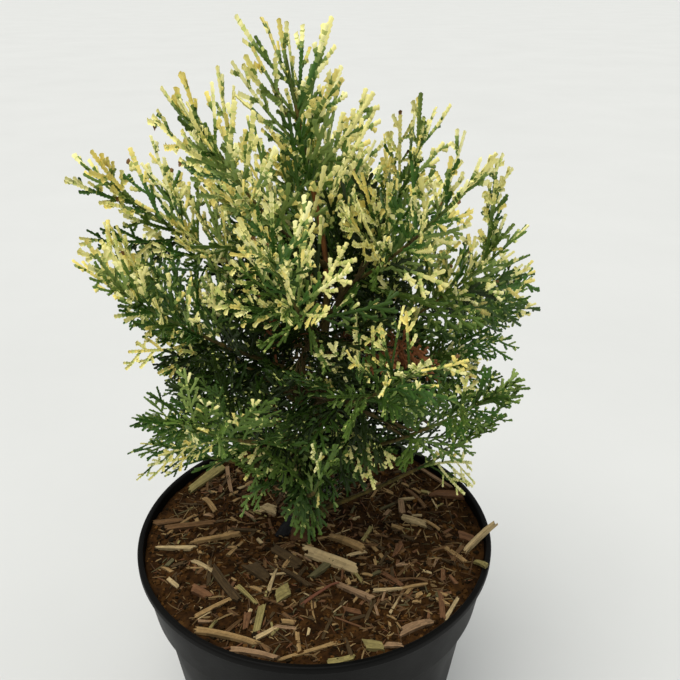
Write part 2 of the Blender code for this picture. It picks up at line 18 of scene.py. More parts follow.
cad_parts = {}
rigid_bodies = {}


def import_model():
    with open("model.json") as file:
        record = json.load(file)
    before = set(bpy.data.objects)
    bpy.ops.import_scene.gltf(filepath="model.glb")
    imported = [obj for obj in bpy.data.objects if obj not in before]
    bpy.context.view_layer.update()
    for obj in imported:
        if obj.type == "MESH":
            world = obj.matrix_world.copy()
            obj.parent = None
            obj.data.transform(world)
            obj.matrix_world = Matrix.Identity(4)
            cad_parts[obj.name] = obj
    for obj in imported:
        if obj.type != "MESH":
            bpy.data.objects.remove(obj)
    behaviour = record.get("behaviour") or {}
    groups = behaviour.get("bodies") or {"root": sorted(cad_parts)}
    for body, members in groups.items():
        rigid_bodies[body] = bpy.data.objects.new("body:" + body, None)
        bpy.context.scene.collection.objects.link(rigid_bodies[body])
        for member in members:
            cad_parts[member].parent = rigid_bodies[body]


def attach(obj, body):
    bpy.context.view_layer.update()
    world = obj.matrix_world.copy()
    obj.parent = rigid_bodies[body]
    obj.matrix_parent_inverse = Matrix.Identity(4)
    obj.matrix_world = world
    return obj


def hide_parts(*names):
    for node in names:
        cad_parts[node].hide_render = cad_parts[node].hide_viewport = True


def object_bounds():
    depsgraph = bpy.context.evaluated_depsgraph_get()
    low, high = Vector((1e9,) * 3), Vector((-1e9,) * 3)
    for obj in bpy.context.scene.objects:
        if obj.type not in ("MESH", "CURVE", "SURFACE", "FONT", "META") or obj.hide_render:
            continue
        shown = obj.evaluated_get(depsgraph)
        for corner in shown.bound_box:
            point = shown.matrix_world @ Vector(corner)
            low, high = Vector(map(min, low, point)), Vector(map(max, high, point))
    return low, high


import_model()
cad_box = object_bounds()

MM = 0.001
UP = Vector((0, 0, 1))

# ---------------------------------------------------------------- sizes, as in the source
# Of two values, the first is for the foot or the lowest bough and the second for the end or the highest

POT_HEIGHT = 150 * MM
RIM_RADIUS = 95 * MM
LIP_HEIGHT = 4 * MM
LIP_WIDTH = 3 * MM
COLLAR_HEIGHT = 30 * MM
COLLAR_RADIUS = 89.6 * MM
BODY_RADIUS = 86 * MM
FOOT_RADIUS = 70.5 * MM
WALL = 1.6 * MM
FLOOR = 2.4 * MM
DRAIN_HOLES = 8
DRAIN_RADIUS = 5 * MM
DRAIN_CIRCLE = 56 * MM

SOIL_LEVEL = POT_HEIGHT - 5.5 * MM
SOIL_UNEVENNESS = 2.2 * MM
SOIL_RADIUS = 91.2 * MM
FOOT_PATCH = 12 * MM

TRUNK_PATH = [(-8, 0, 0), (-2, 1, 52), (5, -1, 108), (7, 1, 158), (-2, 0, 210), (-11, 0, 262)]
TRUNK_TOP = 0.78
TRUNK_RADII = (4.4 * MM, 1.2 * MM)
FLARE = 2.4 * MM
FLARE_HEIGHT = 9 * MM

BOUGHS = 21
GOLDEN_ANGLE = math.radians(137.5)
TIP_HEIGHTS = (52 * MM, 242 * MM)
TOPWARD = 0.85
CROWN_TOP = 267 * MM
CROWN_WIDEST = 152 * MM
CROWN_RADIUS = 106 * MM
SKIRT_RADIUS = 0.80
FORK_HEIGHTS = (9 * MM, 160 * MM)
FRONT_TUCK = 0.62
FRONT_RAISE = 16 * MM
TUCK_ENDS = 115 * MM
REACHES = {4: 0.88, 8: 1.13, 12: 1.03, 13: 0.96, 16: 1.08, 17: 1.24, 18: 1.4, 20: 1.4}
RAISES = {0: 16, 4: -35, 5: 15, 8: -9, 11: 16, 12: 4, 16: 12, 17: -8}
KNEE = (0.55, 0.36)
BOUGH_SHARE = 0.25
BOUGH_RADII = (1.9 * MM, 1.1 * MM)
BOUGH_THICKNESSES = (1.15, 0.75)

STEM_TIP_RADIUS = 0.45 * MM
TWIG_SPREADS = (math.radians(72), math.radians(38))
LIFT = 0.40
TWIG_LENGTHS = (43 * MM, 23 * MM)
LEADER_TWIGS = 0.8
TIP_LENGTH = 34 * MM
FITS = (1.0, 0.85, 0.7, 0.55, 0.42)
PATH_SAMPLES = 40

TIERS = ("low", "mid", "high")

# ---------------------------------------------------------------- sizes of the finer foliage

TWIGS = (34, 28)  # on the lowest and the highest bough, where the source has 9
LEADER_SPRAYS = 11
INNER_TWIGS = 11  # on the bare part of a bough
MORE_LOW_TWIGS = 4  # there, on the low boughs
TUFT = [  # what hangs before the trunk's foot, in mm: height of the start, how creamy, and place of the tip
    (70, 0.3, (-40, -18, 64)), (68, 0.4, (-33.5, -24, 60)), (66, 0.1, (-21, -28, 58)),
    (62, 0.2, (-16, -28, 56)), (56, 0, (-36.5, -22, 36)), (58, 0, (-25, -26, 48)), (46, 0, (-13, -24, 33)),
    (52, 0, (-6, -28, 44)), (44, 0, (-5, -20, 24)), (34, 0, (0, -16, 11)), (52, 0.2, (5, -26, 42)),
    (56, 0.1, (12.5, -24, 43)), (58, 0, (27, -14, 47)), (68, 0.2, (32, -26, 59)), (76, 0.3, (40, -30, 70)),
    (40, 0, (4, -17, 18)), (48, 0, (-9, -22, 30)), (62, 0, (-2, -30, 50)), (36, 0, (-6.8, -18, 12)),
    (42, 0, (-12, -17, 19)), (32, 0, (-2.5, -19, 9)),
]
TRUNK_TWIGS = 64  # on the trunk itself
# Of the rule's twig length, at these boughs' tips
TWIG_SIZES = {
    0: 0.7, 1: 1.4, 4: 0.5, 5: 0.65, 7: 1.1, 12: 0.55, 13: 0.6, 16: 0.75, 17: 0.5, 18: 0.45, 19: 0.55,
    20: 0.7,
}
# Twigs left out where the crown is open, by limb
OPEN_PLACES = {
    0: (25, 27, 28, 30, 33), 4: (23, 26, 28, 29, 30, 31, 32), 5: (15, 17), 7: (21, 26), 8: (19,),
    12: (25, 28, 30), 13: (26, 28, 29), 17: (17, 21, 22, 23), 18: (24, 25), 19: (23, 24, 26), 21: (5, 6),
}
RISES = (0.0, 0.4, 0.72, 0.95)  # shares of the crown's height, for the four rows that follow
SHOOT_PITCHES = (3.5, 3.0, 4.6, 8.0)  # mm between side shoots
SHORT_PITCHES = (3.5, 3.0, 4.2, 5.0)  # mm between the shoots on those
HALF_WIDTHS = (0.80, 0.78, 0.95, 1.02)  # mm, of a shoot
SPREADS = (44, 42, 37, 33)  # degrees between a spray's axis and its side shoots
FULLNESS = (1.15, 1.05, 0.85, 0.70)  # a spray's width, of its full one
SHORT_SIZES = (0.75, 0.9, 0.9, 0.5)  # of the short shoots
SWOLLEN = 1.14  # a cream shoot's width, of a green one's
TIPPED_FROM = 0.62  # share of the crown's height from which only the shoots' ends are cream
FINER = (40 * MM, 90 * MM, 0.28)  # how far in front shoots begin and end to get finer, and by how much
SAG = (-0.34, 0.44)  # rise of a spray's tip off its straight line, of its length, at crown's foot and top
SCALE_PITCH = 1.55 * MM  # one pair of scale leaves
COARSE_PITCH = 3.0 * MM  # the same inside the crown
OUTER_TIPS = [  # places that single long sprays reach, in mm from the pot's axis and over the soil
    (-104.8, -6, 199), (-93, -3, 210), (-78, 3, 210), (-84.7, -50, 185.6), (-63.5, -10, 225.8),
    (-41.9, -48, 246.8), (-33.2, -25, 246.7), (-28.4, -20, 247.5), (-20.7, -15, 252.2), (-28.5, 0, 263),
    (-17, 5, 260.5), (-8.4, 10, 256), (-2.3, 20, 258.6), (10.2, 5, 262.5), (14.2, 5, 243.5), (7, 0, 236),
    (26.5, 15, 230.2), (41.1, 30, 221.5), (58.7, -50, 227), (77.4, -20, 210.5), (77, -25, 203),
    (105.6, 5, 147.6), (106.8, -5, 137.6), (98.5, -10, 93.8), (-91.3, 5, 109.6), (-83.5, -20, 89),
    (-83.5, -20, 72.5), (-83, -15, 56), (-64.6, 10, 203), (-60.2, 20, 189.2), (-54.2, 20, 177.2),
    (-63.2, -15, 186.5), (-55.7, -25, 177.3), (-49.7, 30, 193.9), (-78.1, -30, 185.4), (-81.7, -35, 188.2),
    (-77.6, -15, 93.9), (-91.3, 10, 68.3), (83.6, 10, 108.2), (81.1, 20, 96.2), (-19.9, 30, 214.8),
    (-26.8, 35, 206.9), (25.4, 40, 213), (62.7, -10, 174.6), (64.3, -30, 172.4), (58.2, 0, 180.7),
    (-66.4, -5, 216.8), (27.2, -10, 234.9), (27, 10, 221.3), (-100.6, -12, 173.9), (-87.2, -25, 177.3),
    (96.6, -5, 163.1), (105.8, 10, 147.7), (82.9, 0, 108.3), (80.2, 15, 97.6), (78.5, -20, 61),
    (15.5, -25, 211.6), (22.1, -35, 208.3), (18, -48, 203.8), (26.8, -40, 197.4), (13.1, -45, 197.2),
    (3.9, -25, 211.6), (32.6, -30, 203.1), (11, -10, 215.7), (20.7, -5, 210.6), (96.5, 0, 119.7),
    (29.6, 15, 210.8), (-42, -15, 174), (101.7, 0, 155.5),
]
SCALE_NOTCH = 0.64  # a shoot's width between two pairs, of its full width
RIDGES = (0.50 * MM, 1.0 * MM)  # a shoot's thickness at the crown's foot and top
LEAF_CLEARANCE = 1.5 * MM  # over soil and rim
# The crown's underside above the soil, at the sides and in front: its height at the trunk, its slope out
# to SKIRT_BEND from there, and its slope beyond
SKIRT_HEIGHT = (4 * MM, -16 * MM)
SKIRT_SLOPE = (1.1, 1.95)
SKIRT_BEND = 44 * MM
SKIRT_OUTER = (0.1, 0.7)


def blend(pair, share):
    """From the pair's first value to its second, at a share of the way."""
    return pair[0] + (pair[1] - pair[0]) * share


def within(value, low=0.0, high=1.0):
    return min(max(value, low), high)


def over_soil(x, y, z):
    """A place given in mm from the pot's axis and over the soil."""
    return Vector((x * MM, y * MM, SOIL_LEVEL + z * MM))


def srgb(red, green, blue):
    """A linear colour from the 0 to 255 numbers that a screen shows."""
    return tuple(((c / 255 + 0.055) / 1.055) ** 2.4 if c > 10 else c / 255 / 12.92
                 for c in (red, green, blue))


# Leaf colours, each a plain one
LEAF_COLOURS = {
    "shade": (35, 50, 12),
    "deep": (56, 83, 26),
    "mid": (90, 116, 46),
    "cool": (66, 102, 37),
    "fresh": (130, 151, 77),
    "lime": (200, 206, 118),
    "butter": (245, 237, 154),
    "cream": (248, 243, 172),
    "gold": (244, 227, 130),
    "browned": (120, 88, 50),
    "dead": (148, 94, 58),
    "dull": (84, 70, 40),
}
CREAMS = ("butter", "cream", "gold")
KINDS = list(LEAF_COLOURS)
WITHERED = KINDS.index("dead")  # from here on, the kinds that a whole spray turns to


# ---------------------------------------------------------------- materials


def add_node(tree, kind, inputs):
    """The tree's node of that name, or a new one of that kind; inputs are values or other nodes' outputs."""
    made = tree.nodes.get(kind) or tree.nodes.new(kind)
    for name, value in inputs.items():
        if isinstance(value, bpy.types.NodeSocket):
            tree.links.new(value, made.inputs[name])
        else:
            made.inputs[name].default_value = value
    return made


def principled(name, colour, roughness, specular=0.5):
    made = bpy.data.materials.new(name)
    made.use_nodes = True
    add_node(made.node_tree, "Principled BSDF",
             {"Base Color": (*colour, 1), "Roughness": roughness, "Specular IOR Level": specular})
    return made


def toned(name, tones, roughness, specular):
    return [principled(f"{name}_{n}", srgb(*tone), roughness, specular) for n, tone in enumerate(tones)]


def noise_node(tree, scale, detail=4.0, stretch=(1, 1, 1), roughness=0.55):
    """A noise texture over object coordinates, whose pattern is stretched along the axes."""
    place = add_node(tree, "ShaderNodeTexCoord", {}).outputs["Object"]
    mapping = add_node(tree, "ShaderNodeMapping", {"Scale": stretch, "Vector": place})
    inputs = {"Scale": scale, "Detail": detail, "Roughness": roughness, "Vector": mapping.outputs["Vector"]}
    return add_node(tree, "ShaderNodeTexNoise", inputs).outputs["Fac"]


def ramp_node(tree, source, stops):
    """A colour ramp of (position, colour) stops."""
    ramp = add_node(tree, "ShaderNodeValToRGB", {"Fac": source})
    elements = ramp.color_ramp.elements
    while len(elements) < len(stops):
        elements.new(0.5)
    for element, (position, colour) in zip(elements, stops):
        element.position = position
        element.color = (*colour, 1)
    return ramp.outputs["Color"]


def bump_node(tree, source, strength, distance):
    inputs = {"Strength": strength, "Distance": distance, "Height": source}
    return add_node(tree, "ShaderNodeBump", inputs).outputs["Normal"]


def rough_node(tree, source, roughnesses):
    return ramp_node(tree, source, [(0.3, [roughnesses[0]] * 3), (0.7, [roughnesses[1]] * 3)])


def patterned(name, scale, stops, roughnesses, bump, stretch=(1, 1, 1), specular=0.5):
    """A material whose colour, roughness and relief follow noise at one scale and its finer octaves."""
    made = principled(name, stops[0][1], 0.5, specular)
    tree = made.node_tree
    pattern = noise_node(tree, scale, 6.0, stretch, 0.6)
    inputs = {"Base Color": ramp_node(tree, pattern, stops),
              "Roughness": rough_node(tree, pattern, roughnesses)}
    if bump:
        inputs["Normal"] = bump_node(tree, noise_node(tree, scale * 2.5, 4.0, stretch, 0.6), 0.6, bump)
    add_node(tree, "Principled BSDF", inputs)
    return made


# ---------------------------------------------------------------- meshes


def mesh_object(name, points, quads, materials, kinds=None, smooth=False):
    """An object from arrays of points and quads; kinds says which material each quad has."""
    points, quads = np.asarray(points, np.float32), np.asarray(quads, np.int32)
    mesh = bpy.data.meshes.new(name)
    mesh.vertices.add(len(points))
    mesh.vertices.foreach_set("co", points.ravel())
    mesh.loops.add(quads.size)
    mesh.loops.foreach_set("vertex_index", quads.ravel())
    mesh.polygons.add(len(quads))
    mesh.polygons.foreach_set("loop_start", np.arange(0, quads.size, 4, dtype=np.int32))
    for material in materials:
        mesh.materials.append(material)
    if kinds is not None:
        mesh.polygons.foreach_set("material_index", np.asarray(kinds, np.int32))
    mesh.update(calc_edges=True)
    if smooth:
        mesh.shade_smooth()
    else:
        mesh.shade_flat()
    made = bpy.data.objects.new(name, mesh)
    bpy.context.scene.collection.objects.link(made)
    return made


def place_piece(piece, nodes=()):
    """Puts a finished piece on the body, and hides the solids that it stands for."""
    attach(piece, "root")
    if nodes:
        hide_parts(*nodes)
    return piece


def ring_quads(rings, sides):
    """Quads between each closed ring of points and the next."""
    quads = []
    for start in range(0, (rings - 1) * sides, sides):
        for n in range(sides):
            after = (n + 1) % sides
            quads.append((start + n, start + after, start + sides + after, start + sides + n))
    return quads


def turned(profile, sides):
    """Points and quads of a profile of radius and height that is turned round the pot's axis."""
    angles = [math.tau * n / sides for n in range(sides)]
    points = [(radius * math.cos(angle), radius * math.sin(angle), z)
              for radius, z in profile for angle in angles]
    return points, ring_quads(len(profile), sides)


def tube_grid(centres, radii, sides, relief=None, turn=0.0):
    """Points and quads of an open tube; relief(centre, angle, radius) is added to its radius."""
    points = []
    side = None
    for k, centre in enumerate(centres):
        along = (centres[min(k + 1, len(centres) - 1)] - centres[max(k - 1, 0)]).normalized()
        side = side or along.orthogonal().normalized()
        side = (side - along * side.dot(along)).normalized()
        across = along.cross(side)
        for n in range(sides):
            angle = turn + math.tau * n / sides
            radius = radii[k] + (relief(centre, angle, radii[k]) if relief else 0)
            points.append(centre + (side * math.cos(angle) + across * math.sin(angle)) * radius)
    return points, ring_quads(len(centres), sides)


class Gathered:
    """Several grids joined into one set of points, quads and kinds."""

    def __init__(self):
        self.points, self.quads, self.kinds = [], [], []

    def add(self, points, quads, kinds=0):
        start = len(self.points)
        self.points += [tuple(p) for p in points]
        self.quads += [tuple(start + n for n in quad) for quad in quads]
        self.kinds += [kinds] * len(quads) if isinstance(kinds, int) else list(kinds)

    def place(self, name, materials, slot, nodes=(), smooth=False):
        piece = mesh_object(name, self.points, self.quads, materials, self.kinds, smooth)
        place_piece(piece, nodes)


# ---------------------------------------------------------------- the source's paths


def smooth_path(corners, share):
    """A point on the Catmull-Rom curve through the corners, at a share of the way from 0 to 1."""
    place = within(share) * (len(corners) - 1)
    k = min(int(place), len(corners) - 2)
    t = place - k
    p1, p2 = corners[k], corners[k + 1]
    p0 = corners[k - 1] if k > 0 else p1 * 2 - p2
    p3 = corners[k + 2] if k + 2 < len(corners) else p2 * 2 - p1
    return 0.5 * (2 * p1 + (p2 - p0) * t + (2 * p0 - 5 * p1 + 4 * p2 - p3) * t**2
                  + (3 * p1 - p0 - 3 * p2 + p3) * t**3)


TRUNK_CORNERS = [over_soil(*place) for place in TRUNK_PATH]


def trunk_point(share):
    return smooth_path(TRUNK_CORNERS, share)


SLENDER_HEIGHTS = (90 * MM, 160 * MM)  # over the soil, where the trunk gets more slender than its solid


def trunk_radius(share):
    """The trunk's radius, more slender above its middle than the solid's."""
    rise = trunk_point(share).z - SOIL_LEVEL
    solid = blend(TRUNK_RADII, min(share / TRUNK_TOP, 1) ** 0.8) + FLARE * math.exp(-rise / FLARE_HEIGHT * 2)
    return solid * float(np.interp(rise, SLENDER_HEIGHTS, (1, 0.7)))


def trunk_share_at(height):
    """The share of the trunk's path that lies at a height above the soil."""
    low, high = 0.0, 1.0
    for _ in range(30):
        middle = (low + high) / 2
        if trunk_point(middle).z - SOIL_LEVEL < height:
            low = middle
        else:
            high = middle
    return low


def crown_radius(height):
    if height > CROWN_WIDEST:
        return CROWN_RADIUS * (1 - ((height - CROWN_WIDEST) / (CROWN_TOP - CROWN_WIDEST)) ** 2.1)
    return CROWN_RADIUS * (1 - (1 - SKIRT_RADIUS) * ((CROWN_WIDEST - height) / CROWN_WIDEST) ** 1.5)


class Limb:
    """A path from inside the wood to the furthest tip of the foliage, whose stem starts at first."""

    def length(self):
        places = [self.point(k / PATH_SAMPLES) for k in range(PATH_SAMPLES + 1)]
        return sum((after - before).length for before, after in zip(places, places[1:]))


class Bough(Limb):
    first = BOUGH_SHARE
    twig_size = 1.0

    def __init__(self, number):
        rise = (number + 0.5) / BOUGHS
        azimuth = number * GOLDEN_ANGLE
        height = blend(TIP_HEIGHTS, rise**TOPWARD) + RAISES.get(number, 0) * MM
        lowness = within((TUCK_ENDS - height) / (TUCK_ENDS - TIP_HEIGHTS[0]))
        tucked = max(0.0, -math.sin(azimuth)) ** 1.5 * lowness
        reach = crown_radius(height) * REACHES.get(number, 1.0) * (1 - FRONT_TUCK * tucked)
        height += FRONT_RAISE * tucked
        self.number = number
        self.start = trunk_point(trunk_share_at(blend(FORK_HEIGHTS, rise)))
        self.tip = Vector((reach * math.cos(azimuth), reach * math.sin(azimuth), SOIL_LEVEL + height))
        self.knee = self.start.lerp(self.tip, KNEE[0])
        self.knee.z = self.start.z + (self.tip.z - self.start.z) * KNEE[1]
        self.radii = [radius * blend(BOUGH_THICKNESSES, rise) for radius in BOUGH_RADII]
        self.tier = TIERS[number * len(TIERS) // BOUGHS]
        self.label = f"{self.tier}_{number + 1:02d}"

    def point(self, share):
        return (self.start * (1 - share) ** 2 + self.knee * (2 * share * (1 - share))
                + self.tip * share**2)

    def along(self, share):
        return ((self.knee - self.start) * (1 - share) + (self.tip - self.knee) * share).normalized()


class Leader(Limb):
    """The end of the trunk's own path, which carries the top of the crown."""

    first = TRUNK_TOP
    twig_size = LEADER_TWIGS
    number = BOUGHS
    radii = (TRUNK_RADII[1], TRUNK_RADII[1])
    tip = TRUNK_CORNERS[-1]
    tier = "high"
    label = "top"

    def point(self, share):
        return trunk_point(share)

    def along(self, share):
        return (trunk_point(share + 0.01) - trunk_point(share - 0.01)).normalized()


def twig_rule(limb, k, twigs):
    """Where twig k of a limb leaves its stem, the way it points and its length, as in the source."""
    draw = random.Random(f"twig {limb.number} {k}")
    out = (k + 0.5) / twigs
    share = limb.first + (1 - limb.first) * (0.05 + 0.80 * out)
    along = limb.along(share)
    away = Matrix.Rotation(k * GOLDEN_ANGLE + limb.number, 3, along) @ along.orthogonal().normalized()
    spread = blend(TWIG_SPREADS, out) * draw.uniform(0.85, 1.15)
    points_to = along * math.cos(spread) + away * math.sin(spread) + UP * LIFT
    length = blend(TWIG_LENGTHS, out) * draw.uniform(0.88, 1.12) * limb.twig_size
    return share, points_to.normalized(), length


LIMBS = [Bough(number) for number in range(BOUGHS)] + [Leader()]


# ---------------------------------------------------------------- soil

# Relief and size in mm, and the noise's offset
SOIL_GRAINS = ((1.0, 9, (7, 3, 1)), (0.55, 3.2, (2, 9, 4)), (0.3, 1.5, (5, 5, 8)))
CRUMBS = 5200
FIBRES = 1500


def soil_top(x, y):
    """The soil's height: the solid's gentle unevenness with clods and grain on it."""
    place = Vector((x, y, 0))
    fade = within((math.hypot(x, y) - FOOT_PATCH) / (20 * MM))
    height = SOIL_LEVEL + SOIL_UNEVENNESS * fade * noise.noise(place / (28 * MM))
    for relief, size, offset in SOIL_GRAINS:
        height += relief * MM * noise.noise(place / (size * MM) + Vector(offset))
    return height


def make_soil():
    """The soil's open surface, from under it in the pot, up along the wall and in to the middle."""
    rings = 78
    profile = [(67 * MM, FLOOR + 0.3 * MM), (86 * MM, SOIL_LEVEL - 16 * MM)]
    profile += [(SOIL_RADIUS * (1 - k / rings) ** 0.9 + 0.4 * MM, None) for k in range(rings + 1)]
    points, quads = turned(profile, 300)
    points = [(x, y, soil_top(x, y) if z is None else z) for x, y, z in points]
    stops = [(0.30, srgb(24, 13, 3)), (0.45, srgb(43, 25, 7)),
             (0.60, srgb(62, 39, 14)), (0.78, srgb(92, 63, 29))]
    earth = patterned("soil_earth", 170.0, stops, (0.95, 0.8), 0.0006, specular=0.08)
    soil = mesh_object("soil_surface", points, quads, [earth], smooth=True)
    return place_piece(soil, ["soil"])


def lump(draw, size):
    """A crumb: a box of eight jogged corners."""
    shape = [size * draw.uniform(0.7, 1.3), size * draw.uniform(0.55, 1.0), size * draw.uniform(0.4, 0.8)]
    corners = [Vector([sign * half * 0.5 * draw.uniform(0.55, 1.0) for sign, half in zip((x, y, z), shape)])
               for z in (-1, 1) for x, y in ((-1, -1), (1, -1), (1, 1), (-1, 1))]
    return corners, [(0, 3, 2, 1), (4, 5, 6, 7), (0, 1, 5, 4), (1, 2, 6, 5), (2, 3, 7, 6), (3, 0, 4, 7)]


def scattered(draw, margin):
    """A place on the soil, evenly spread."""
    radius = (SOIL_RADIUS - margin) * math.sqrt(draw.random())
    angle = draw.uniform(0, math.tau)
    return radius * math.cos(angle), radius * math.sin(angle)


def make_crumbs():
    """Crumbs of peat and bark fines."""
    crumbs = Gathered()
    draw = random.Random("crumbs")
    for _ in range(CRUMBS):
        x, y = scattered(draw, 1.0 * MM)
        size = draw.uniform(0.7, 1.5) * MM if draw.random() < 0.8 else draw.uniform(1.5, 3.2) * MM
        corners, quads = lump(draw, size)
        turn = Matrix.Rotation(draw.uniform(0, math.tau), 4, "Z")
        turn = turn @ Matrix.Rotation(draw.gauss(0, 0.5), 4, "X")
        place = Matrix.Translation((x, y, soil_top(x, y) + 0.15 * size)) @ turn
        crumbs.add([place @ c for c in corners], quads, draw.choices(range(4), (3, 3, 1.4, 2))[0])
    tones = toned("crumb", [(38, 23, 6), (60, 38, 13), (88, 59, 26), (28, 20, 8)], 0.9, 0.08)
    crumbs.place("soil_crumbs", tones, "potting_soil")


def make_fibres():
    """Thin fibres and splinters, slightly bent, on the soil."""
    fibres = Gathered()
    draw = random.Random("fibres")
    for _ in range(FIBRES):
        x, y = scattered(draw, 4 * MM)
        length = draw.uniform(2, 5) * MM if draw.random() < 0.7 else draw.uniform(5, 11) * MM
        half = draw.uniform(0.14, 0.50) * MM
        bend = draw.gauss(0, 0.05)
        heading, tilt = draw.uniform(0, math.tau), draw.gauss(0, 0.16)
        centres = []
        for k in range(4):
            along = (k / 3 - 0.5) * length
            sway = bend * length * (1 - (2 * k / 3 - 1) ** 2)
            px = x + along * math.cos(heading) - sway * math.sin(heading)
            py = y + along * math.sin(heading) + sway * math.cos(heading)
            lift = half + 0.2 * MM + along * tilt + 0.12 * length * abs(tilt)
            centres.append(Vector((px, py, soil_top(px, py) + lift)))
        points, quads = tube_grid(centres, [half * 0.6, half, half * 0.9, half * 0.35], 4, turn=0.4)
        fibres.add(points, quads, draw.choices(range(5), (2, 4, 5, 2, 1.5))[0])
    colours = [(134, 110, 70), (100, 78, 45), (74, 52, 27), (98, 62, 34), (84, 76, 46)]
    fibres.place("soil_fibres", toned("fibre", colours, 0.8, 0.3), "potting_soil")


# ---------------------------------------------------------------- wood chips

# x, y, length and width in mm, heading and tilt in degrees, wood; these twelve are the source's
CHIPS = {
    "broad": (8, -22, 32, 7.2, -28, 0, "pale"),
    "crossed": (17, -8.5, 21, 5.0, -29, 0, "tan"),
    "pink": (21, -45, 21, 4.0, -33, 0, "pink"),
    "curved": (55, 9.5, 15, 4.8, -32, 0, "pale"),
    "long": (-39.5, -73.5, 30, 3.6, -14, 0, "tan"),
    "front": (-25.5, -83, 22, 3.4, -15, 0, "pink"),
    "wide": (-68, 50, 30, 8.0, 57, 0, "olive"),
    "wedge": (49.5, -68, 17, 4.6, 25, 0, "pink"),
    "square": (76, 32, 18, 6.2, -3, 0, "red"),
    "stick": (-54, -4.5, 26, 3.2, 11, 0, "tan"),
    "dark": (-44.5, -39, 26, 4.8, -54, 0, "dark"),
    "leaning": (88.5, -10, 23, 3.4, 34, 25, "pale"),
}
MORE_CHIPS = [  # the rest that the soil shows, in the same numbers, with no tilt given
    (-75, -12, 20, 3.6, 0, "pale"), (-25, -62, 16, 3.8, -95, "olive"), (-31, -63, 11, 4.2, -91, "red"),
    (-5.5, -77, 13, 2.3, -81, "tan"), (-1, -81, 28, 2.2, 21, "tan"), (-28, -31, 16, 8, -46, "dark"),
    (-15, -46.5, 9, 7.4, 46, "olive"), (-9.5, -35, 19, 3, -39, "dark"), (-15, -19, 20, 5.8, -41, "dark"),
    (4.5, -27, 19, 6.0, 52, "green"), (63, -53, 20, 2.9, -93, "red"), (67.5, -56, 16, 2.4, 60, "pale"),
    (51, -40, 16, 2.3, 18, "tan"), (29, -78, 9, 5.8, -11, "olive"), (32, -13, 15.5, 2.4, -54, "tan"),
    (44, -13, 10, 3.9, 68, "red"), (72, 51, 26, 2.6, -51, "pink"), (49, 23, 12, 4.2, -89, "pink"),
    (-54, 49, 26, 2.6, -77, "pink"), (-75, 7.5, 22, 1.9, 51, "tan"), (-83, 9, 16, 5.0, 16, "brown"),
    (-27, 20, 11, 7.0, -40, "pale"), (-70, 6, 26, 4.4, 10, "brown"), (-42, -12, 15, 2.4, 60, "tan"),
    (-58, -26, 15, 2.6, -35, "pale"), (-56, -44, 12, 5.6, -35, "red"), (-47, -54, 24, 2.4, 38, "tan"),
    (-33, -46, 16, 2.6, -48, "olive"), (-12, -68, 10, 2.0, -5, "pink"), (-21, -71, 11, 2.6, 30, "pale"),
    (41, -52, 15, 1.6, 62, "pale"), (46, -24, 7, 2.4, 10, "pink"), (76, -18, 14, 2.6, 58, "brown"),
    (82, -4, 8, 6.0, -30, "red"), (86, -29, 10, 4.0, -60, "olive"), (-8, 3, 24, 3.0, 8, "dark"),
    (-62, 24, 14, 3.2, -55, "tan"), (22, -60, 8, 2.0, 14, "dark"), (58, 30, 20, 2.6, -62, "brown"),
    # The near-black chip before the trunk's foot is painted shadow, laid where the trunk's shadow falls.
    (22.3, -16.6, 10.8, 2.4, 20, "pale"), (-16, 5, 17, 7.5, 74, "black"),
    (-22, -88, 8, 2.2, -8, "tan"), (14, -86, 12, 3.0, 12, "olive"), (38, -80, 10, 3.0, -28, "pink"),
]
WOODS = {
    "pale": (176, 154, 112), "tan": (148, 120, 78), "pink": (142, 114, 84), "red": (106, 74, 48),
    "brown": (98, 72, 44), "dark": (70, 55, 33), "olive": (136, 124, 76), "green": (88, 82, 54),
    # The last wood is a near-black painted shadow.
    "black": (22, 22, 23),
}
TONES = (1.12, 0.95, 0.78, 0.50)  # of a wood's colour: the first three for the fibres on top, the third and fourth for the long sides, and the fourth for the ends and underside
CHIP_THICKNESS = 2.0 * MM
LOOSE_CHIPS = 520


